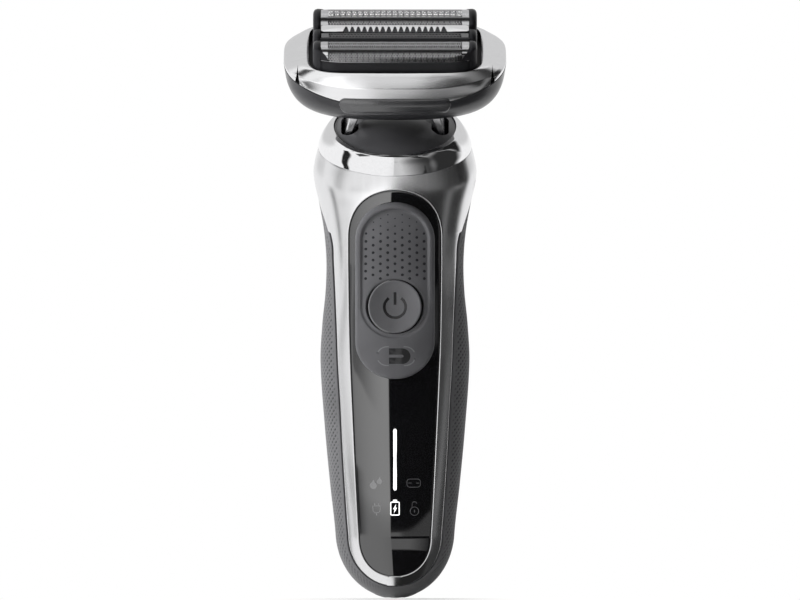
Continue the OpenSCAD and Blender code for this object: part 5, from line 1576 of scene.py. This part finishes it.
def perforated(name, place, u_range, s_range, pitch, stretch, hole, wall=SHEET):
    """Sheet of staggered six-sided cells, each open over a share hole, laid by place(u, s, lift)."""
    (u0, u1), (s0, s1) = u_range, s_range
    cols = max(1, int(round((u1 - u0) / pitch)))
    rows = max(1, int(round((s1 - s0) / (pitch * stretch * 0.866))))
    du, ds = (u1 - u0) / (cols + 0.5), (s1 - s0) / (rows + 1 / 3)
    verts, faces, index = [], [], {}

    def shared(u, s):
        u, s = min(max(u, u0), u1), min(max(s, s0), s1)
        key = (round(u, 4), round(s, 4))
        if key not in index:
            index[key] = len(verts)
            verts.append((u, s))
        return index[key]

    for r in range(rows):
        for c in range(cols):
            cu = u0 + (c + 0.5 + (0.5 if r % 2 else 0)) * du
            cs = s0 + (r + 2/3) * ds
            outer = [shared(cu + hu * du, cs + hs * ds) for hu, hs in HEXAGON]
            inner = list(range(len(verts), len(verts) + 6))
            verts += [(cu + hu * du * hole, cs + hs * ds * hole) for hu, hs in HEXAGON]
            faces += [(outer[k], inner[k], inner[(k + 1) % 6], outer[(k + 1) % 6]) for k in range(6)]
    u, s = np.array(verts).T
    n = len(verts)
    both = np.concatenate([place(u, s, 0.0), place(u, s, -wall)])
    edges = {}
    for f in faces:
        for a, b in zip(f, f[1:] + f[:1]):
            edges.setdefault(frozenset((a, b)), []).append((a, b))
    walls = [(b, a, a + n, b + n) for uses in edges.values() if len(uses) == 1 for a, b in uses]
    under = [tuple(i + n for i in f[::-1]) for f in faces]
    return outward(make(name, both, faces + under + walls, 40))


def sheet_band(name, place, u_range, s_range, wall=SHEET, steps=18, cols=2):
    """Solid strip of thin sheet between two lines, laid by place(u, s, lift)."""
    s = np.linspace(*s_range, steps)
    across = np.linspace(*u_range, cols)
    rows = [place(np.full(steps, u), s, lift)
            for lift, line in ((0, across), (-wall, across[::-1])) for u in line]
    return capped(swept(name, rows, around=False, over=True, smooth_under=40), 2 * cols)


def foil_parts(v, face, pitch):
    """Parts of one foil: slots over its top, holes down its sides, and solid bands and ends."""
    place = foil_place(v)
    half, mesh_x, border = FOIL_LEN / 2 - 0.05, 18.15, 0.12
    top, dark = 24.5 * FOIL_DEG, 38 * FOIL_DEG
    across = (-mesh_x, mesh_x)
    parts = [perforated("top", place, across, (-top, top), pitch * 0.66, 3.3, hole=0.76)]
    for s in (-1, 1):
        end = FLANK_END if s == face else FLANK_AT
        net_end = end - border
        parts.append(sheet_band("band", place, across, sorted((s * top, s * dark)), cols=60))
        parts.append(perforated("side", place, across, sorted((s * dark, s * net_end)), pitch, 0.92,
                                hole=0.79))
        parts.append(sheet_band("rim", place, (-half, half), sorted((s * net_end, s * end)), cols=60))
    ends = (-FLANK_END, FLANK_AT) if face < 0 else (-FLANK_AT, FLANK_END)
    for s in (-1, 1):
        parts.append(sheet_band("end", place, sorted((s * mesh_x, s * half)), ends, steps=44))
    return parts


class SHAVER_OT_foils(bpy.types.Operator):
    """The two perforated foils: slots over the top, six-sided holes down the sides, solid ends"""
    bl_idname = "shaver.foils"
    bl_label = "Foils"

    def execute(self, context):
        pitch = context.scene.shaver_look.foil_pitch / MM
        for name, v, face in UNITS:
            foil = joined(name + "_foil_mesh", foil_parts(v, face, pitch), 40)
            settle_in(foil, name + "_unit", "foil_metal", name + "_foil")
        return {"FINISHED"}


COMB_W, COMB_THICK = 29.1, 0.38       # height of the comb in the head's frame, and its thickness
COMB_SPAN, COMB_X = 28.0, 20.0        # length of its row of teeth, and half its whole length
GUARD_X, GUARD_NET = 19.9, 17.9       # half lengths of the guard and of its holes


def trimmer_holder():
    """End blocks and two rails of the trimmer's holder."""
    half, low = TRIMMER_W / 2, HOLDER_LOW
    front = [(-half, low), (-half, COMB_W - 1.2), (-half + 0.15, COMB_W - 0.8),
             (-half + 0.5, COMB_W - 0.48), (-half + 1.0, COMB_W - 0.34),
             (-half + 1.22, COMB_W - 0.42), (-half + 1.22, low)]
    back = [(half - 0.62, low), (half - 0.62, COMB_W - 0.1), (half - 0.15, COMB_W - 0.1),
            (half, COMB_W - 0.3), (half, low)]
    reach = FOIL_LEN / 2 + 0.1
    parts = end_caps(0, half, 4.2, low, 25.3)
    parts += [rail("front rail", front, reach), rail("back rail", back, reach)]
    return joined("trimmer_holder_shell", parts, 45)


def trimmer_comb(teeth):
    """Comb plate with its teeth to the front; its outline is in x and v."""
    pitch = COMB_SPAN / teeth
    half, back, tip, root = COMB_SPAN / 2, 3.35, -0.2, 2.5
    shoulder = [(COMB_X, back), (COMB_X, 0.3), (COMB_X - 0.5, -0.1), (half + 0.1, tip)]
    outline = [(-x, v) for x, v in shoulder]
    for k in range(teeth):
        x = -half + (k + 0.5) * pitch
        outline += [(x - 0.24, root), (x + 0.24, root)]
        if k < teeth - 1:
            outline += [(x + pitch * 0.5 - 0.12, tip), (x + pitch * 0.5 + 0.12, tip)]
    outline += shoulder[::-1]

    def flat(x, w, v):
        return in_head(x, v, w)

    comb = prism("trimmer_comb_plate", outline, COMB_W, COMB_W + COMB_THICK, flat)
    return beveled(comb, 0.06, 2, 50)


def trimmer_guard():
    """Perforated plate that slopes from the front rail up to the comb."""
    foot = np.array([-TRIMMER_W / 2 + 1.3, COMB_W - 0.38])
    rise_to = np.array([-0.62, COMB_W + 0.1]) - foot
    length, wall, border = np.linalg.norm(rise_to), 0.16, 0.12
    normal = np.array([-rise_to[1], rise_to[0]]) / length

    def slope(u, s, lift):
        t = np.asarray(s, float) / length
        spot = foot + rise_to * t[..., None] + normal * np.asarray(lift, float)
        return in_head(u, spot[..., 0], spot[..., 1])

    inner, net, full = (border, length - border), (-GUARD_NET, GUARD_NET), (-GUARD_X, GUARD_X)
    parts = [perforated("guard", slope, net, inner, 0.9, 0.95, hole=0.7, wall=wall)]
    for u_range, s_range in ((full, (0, border)), (full, (length - border, length)),
                             ((-GUARD_X, -GUARD_NET), (0, length)), ((GUARD_NET, GUARD_X), (0, length))):
        parts.append(sheet_band("edge", slope, u_range, s_range, wall))
    return joined("trimmer_guard_plate", parts, 40)


class SHAVER_OT_trimmer(bpy.types.Operator):
    """Middle trimmer: holder, bright toothed comb and the perforated guard before it"""
    bl_idname = "shaver.trimmer"
    bl_label = "Trimmer"

    def execute(self, context):
        body = "trimmer_unit"
        settle_in(trimmer_holder(), body, "holder_plastic", "trimmer_holder")
        settle_in(trimmer_comb(context.scene.shaver_look.teeth), body, "comb_metal", "trimmer_comb")
        guard = settle_in(trimmer_guard(), body, "comb_metal", "trimmer_guard")
        refinished(guard, plated("guard metal", (0.22, 0.22, 0.225), 0.22))
        return {"FINISHED"}


class SHAVER_OT_inner_parts(bpy.types.Operator):
    """Finishes on the solids that show as they are, from the cutters to the socket"""
    bl_idname = "shaver.inner_parts"
    bl_label = "Inner parts"

    def execute(self, context):
        slots = {s["node"]: s["material_slot"] for s in frame["record"]["subparts"]}
        for name, obj in frame["nodes"].items():
            if obj.hide_render:
                continue
            if not obj.material_slots:
                obj.data.materials.append(None)
            for place in obj.material_slots:
                place.material = finish(slots[name])
        return {"FINISHED"}


# ---- Stage ----

PANEL_EDGE = (-2.9, -2.2)     # degrees over which the front flag's edge fades, a sharp line in the panel

# the room's plain flags: how each fades in and out in degrees to the right of the front and in degrees
# above level, and how dark it is
FLAGS = (
    ((*PANEL_EDGE, 50, 75), (-9, -6, 1, 4), 1.0),          # front flag, for the panel
    ((-2, 3, 60, 76), (-9, -6, 6, 8), 0.8),                # its paler rim, for the collar and the cassette
    ((60, 76, 100, 112), (-70, -50, 40, 60), 1.0),         # beyond the right flank
    ((-40, -20, 50, 80), (34, 46, 64, 76), 1.0),           # over the head
    ((-82, -74, -54, -46), (20, 30, 50, 60), 1.0),         # beyond the head's left end
)


def studio_world(fill):
    """White room; polished surfaces also see the dark flags and the bright side of a product studio."""
    world = bpy.data.worlds.new("studio")
    bpy.context.scene.world = world
    world.use_nodes = True
    nodes, links = world.node_tree.nodes, world.node_tree.links
    nodes.clear()
    room = Pattern(world.node_tree)
    x, y, z, turn = room.compass(nodes.new("ShaderNodeTexCoord"), "Generated")
    height = room.math("MULTIPLY", room.math("ARCSINE", z), 180 / math.pi)

    dark = [room.chain("MULTIPLY", room.band(turn, *across), room.band(height, *up), share)
            for across, up, share in FLAGS]
    fall = room.math("ADD", room.ramp(turn, -6, 24, 0, 0.8), room.ramp(turn, 24, 60, 0, 0.17))
    dark.append(room.math("MULTIPLY", fall, room.band(turn, -7, -6, 78, 100)))
    dark.append(room.math("MULTIPLY", room.band(turn, -70, -65, -58, -50), 0.5))
    dark.append(room.chain("MULTIPLY", room.ramp(y, 0.03, 0.3), room.band(height, 5, 20, 76, 89), 0.32))
    glare = room.chain("MULTIPLY", room.band(turn, -50, -40, *PANEL_EDGE), room.band(height, -9, -6, 3, 6),
                       room.ramp(turn, -36, -3, -0.42, 0.63))
    strip = room.chain("MULTIPLY", room.band(turn, 58, 72, 86, 104),
                       room.band(height, -14, -10, -1, 5), 0.4)
    shown = room.math("SUBTRACT", 1.015, room.chain("MAXIMUM", *dark))
    shown = room.chain("ADD", shown, glare, strip)

    path = nodes.new("ShaderNodeLightPath")
    polish = path.outputs["Is Glossy Ray"]
    seen = room.math("MAXIMUM", path.outputs["Is Camera Ray"], path.outputs["Is Transmission Ray"])
    matt = room.math("SUBTRACT", 1.0, room.math("MAXIMUM", seen, polish))
    slope = room.math("MULTIPLY", room.math("SUBTRACT", 0.55, room.math("MULTIPLY", x, 0.45)), fill)
    shown = room.math("MULTIPLY", shown, polish)
    level = room.chain("ADD", shown, seen, room.math("MULTIPLY", matt, slope))
    background = nodes.new("ShaderNodeBackground")
    background.inputs["Color"].default_value = (1, 1, 1, 1)
    links.new(level, background.inputs["Strength"])
    links.new(background.outputs[0], nodes.new("ShaderNodeOutputWorld").inputs[0])


def floor_paper():
    """Paper that is white to the eye but for the handle's shadow, and shows polished surfaces its flags."""
    mat, nodes, links, shader = node_material("floor paper")
    shader.inputs["Base Color"].default_value = (0.9, 0.9, 0.9, 1)
    shader.inputs["Roughness"].default_value = 0.9
    ground = Pattern(mat.node_tree)
    coords = nodes.new("ShaderNodeTexCoord")
    _, _, _, turn = ground.compass(coords, "Object")
    away = nodes.new("ShaderNodeVectorMath")
    away.operation = "LENGTH"
    links.new(coords.outputs["Object"], away.inputs[0])
    reach = away.outputs["Value"]       # metres from the handle

    # shade that deepens to the right, softly close to the handle and in two steps further out
    outer = ground.ramp(reach, 0.13, 0.165)
    inner = ground.math("SUBTRACT", 1.0, outer)
    soft = ground.math("MULTIPLY", ground.ramp(turn, -20, 62, 0, 0.98), inner)
    steps = ground.math("ADD", ground.ramp(turn, -4, 8, 0, 0.72), ground.ramp(turn, 56, 70, 0, 0.27))
    fall = ground.math("ADD", soft, ground.math("MULTIPLY", steps, outer))
    fall = ground.math("MULTIPLY", fall, ground.ramp(turn, 94, 112, 1, 0))
    # foot of the front flag, paler in the two rings that the collar and the cassette frame show
    rings = ground.math("ADD", ground.band(reach, 0.039, 0.045, 0.1, 0.12),
                        ground.band(reach, 0.155, 0.165, 0.2, 0.215))
    paler = ground.math("SUBTRACT", 1.0, ground.math("MULTIPLY", rings, 0.65))
    foot = ground.math("MULTIPLY", ground.band(turn, *PANEL_EDGE, 50, 75), paler)
    stripe = ground.band(turn, -83, -81, -75, -72)
    corner = ground.chain("MULTIPLY", ground.ramp(turn, -66, -63), ground.ramp(turn, -56, -26, 0.94, 0),
                          ground.band(reach, 0.165, 0.19, 0.4, 0.5))
    dark = ground.chain("MAXIMUM", fall, foot, stripe, corner)
    glare = ground.chain("MULTIPLY", ground.ramp(turn, -60, -4), ground.ramp(turn, *PANEL_EDGE, 0.6, 0),
                         ground.ramp(reach, 0.2, 0.3))
    mirror = ground.math("ADD", ground.math("SUBTRACT", 1.01, ground.math("MULTIPLY", dark, 0.99)), glare)

    path = nodes.new("ShaderNodeLightPath")
    sight, polish = path.outputs["Is Camera Ray"], path.outputs["Is Glossy Ray"]
    glow = nodes.new("ShaderNodeEmission")
    links.new(ground.math("ADD", sight, ground.math("MULTIPLY", polish, mirror)), glow.inputs["Strength"])
    shadow = ground.ramp(reach, 0.006, 0.034, 0.45, 1.0)
    mix = nodes.new("ShaderNodeMixShader")
    links.new(ground.math("ADD", ground.math("MULTIPLY", sight, shadow), polish), mix.inputs[0])
    links.new(shader.outputs[0], mix.inputs[1])
    links.new(glow.outputs[0], mix.inputs[2])
    links.new(mix.outputs[0], nodes["Material Output"].inputs["Surface"])
    return mat


# each lamp's name, place, size and share of the key lamp's power
LAMPS = (
    ("key", (-1.3, -0.3, 0.4), 0.6, 1.0),
    ("top", (-0.3, 0.1, 1.1), 0.6, 0.12),
    ("fill", (1.0, -0.6, 0.4), 0.8, 0.02),
)
AIM = (0.00136, 0.0808)      # how far right and how high the camera looks


class SHAVER_OT_stage(bpy.types.Operator):
    """Pale floor, white room, soft lamps and the camera in front"""
    bl_idname = "shaver.stage"
    bl_label = "Stage"

    def execute(self, context):
        scene = context.scene
        setup = scene.shaver_stage
        scene.view_settings.view_transform = "Standard"
        studio_world(setup.fill)

        low, high = SOLIDS_BOX
        size = 6.0
        mesh = bpy.data.meshes.new("floor")
        mesh.from_pydata([(-size, -size, 0), (size, -size, 0), (size, size, 0), (-size, size, 0)],
                         [], [(0, 1, 2, 3)])
        mesh.materials.append(floor_paper())
        floor = linked("floor", mesh)
        floor.location.z = low[2] - 0.0003

        middle = Vector((0, 0, (low[2] + high[2]) / 2))
        for name, at, side, share in LAMPS:
            lamp = bpy.data.lights.new(name, "AREA")
            lamp.energy = setup.key * share
            lamp.size = side
            obj = linked(name, lamp)
            obj.location = at
            obj.rotation_euler = (middle - Vector(at)).to_track_quat("-Z", "Y").to_euler()
            obj.visible_glossy = False

        camera = bpy.data.cameras.new("camera")
        camera.sensor_width = 36
        camera.lens = camera.sensor_width * setup.distance / setup.view_width
        camera.clip_start, camera.clip_end = 0.1, 30
        scene.camera = linked("camera", camera)
        scene.camera.location = (AIM[0], -setup.distance, AIM[1])
        scene.camera.rotation_euler = (math.radians(90), 0, 0)
        return {"FINISHED"}


OPERATORS = (
    SHAVER_OT_front_frame, SHAVER_OT_display_panel, SHAVER_OT_rear_grip, SHAVER_OT_display_marks,
    SHAVER_OT_lock_slider, SHAVER_OT_power_button, SHAVER_OT_release_button, SHAVER_OT_collar,
    SHAVER_OT_arms, SHAVER_OT_head_base, SHAVER_OT_side_buttons, SHAVER_OT_cassette_frame,
    SHAVER_OT_holders, SHAVER_OT_foils, SHAVER_OT_trimmer, SHAVER_OT_inner_parts, SHAVER_OT_stage,
)


class SHAVER_PT_build(bpy.types.Panel):
    """Lists the shaver's settings and the steps that build it"""
    bl_idname = "SHAVER_PT_build"
    bl_label = "Foil shaver"
    bl_space_type = "VIEW_3D"
    bl_region_type = "UI"
    bl_category = "Shaver"

    def draw(self, context):
        layout = self.layout
        for group in (context.scene.shaver_look, context.scene.shaver_stage):
            box = layout.box()
            for key in group.bl_rna.properties.keys():
                if key not in ("rna_type", "name"):
                    box.prop(group, key)
        for step in OPERATORS:
            layout.operator(step.bl_idname)


CLASSES = (ShaverLook, ShaverStage) + OPERATORS + (SHAVER_PT_build,)


def register():
    for cls in CLASSES:
        bpy.utils.register_class(cls)
    bpy.types.Scene.shaver_look = PointerProperty(type=ShaverLook)
    bpy.types.Scene.shaver_stage = PointerProperty(type=ShaverStage)


def unregister():
    del bpy.types.Scene.shaver_stage
    del bpy.types.Scene.shaver_look
    for cls in reversed(CLASSES):
        bpy.utils.unregister_class(cls)


def main():
    register()
    for step in OPERATORS:
        group, name = step.bl_idname.split(".")
        getattr(getattr(bpy.ops, group), name)()


if __name__ == "__main__":
    main()
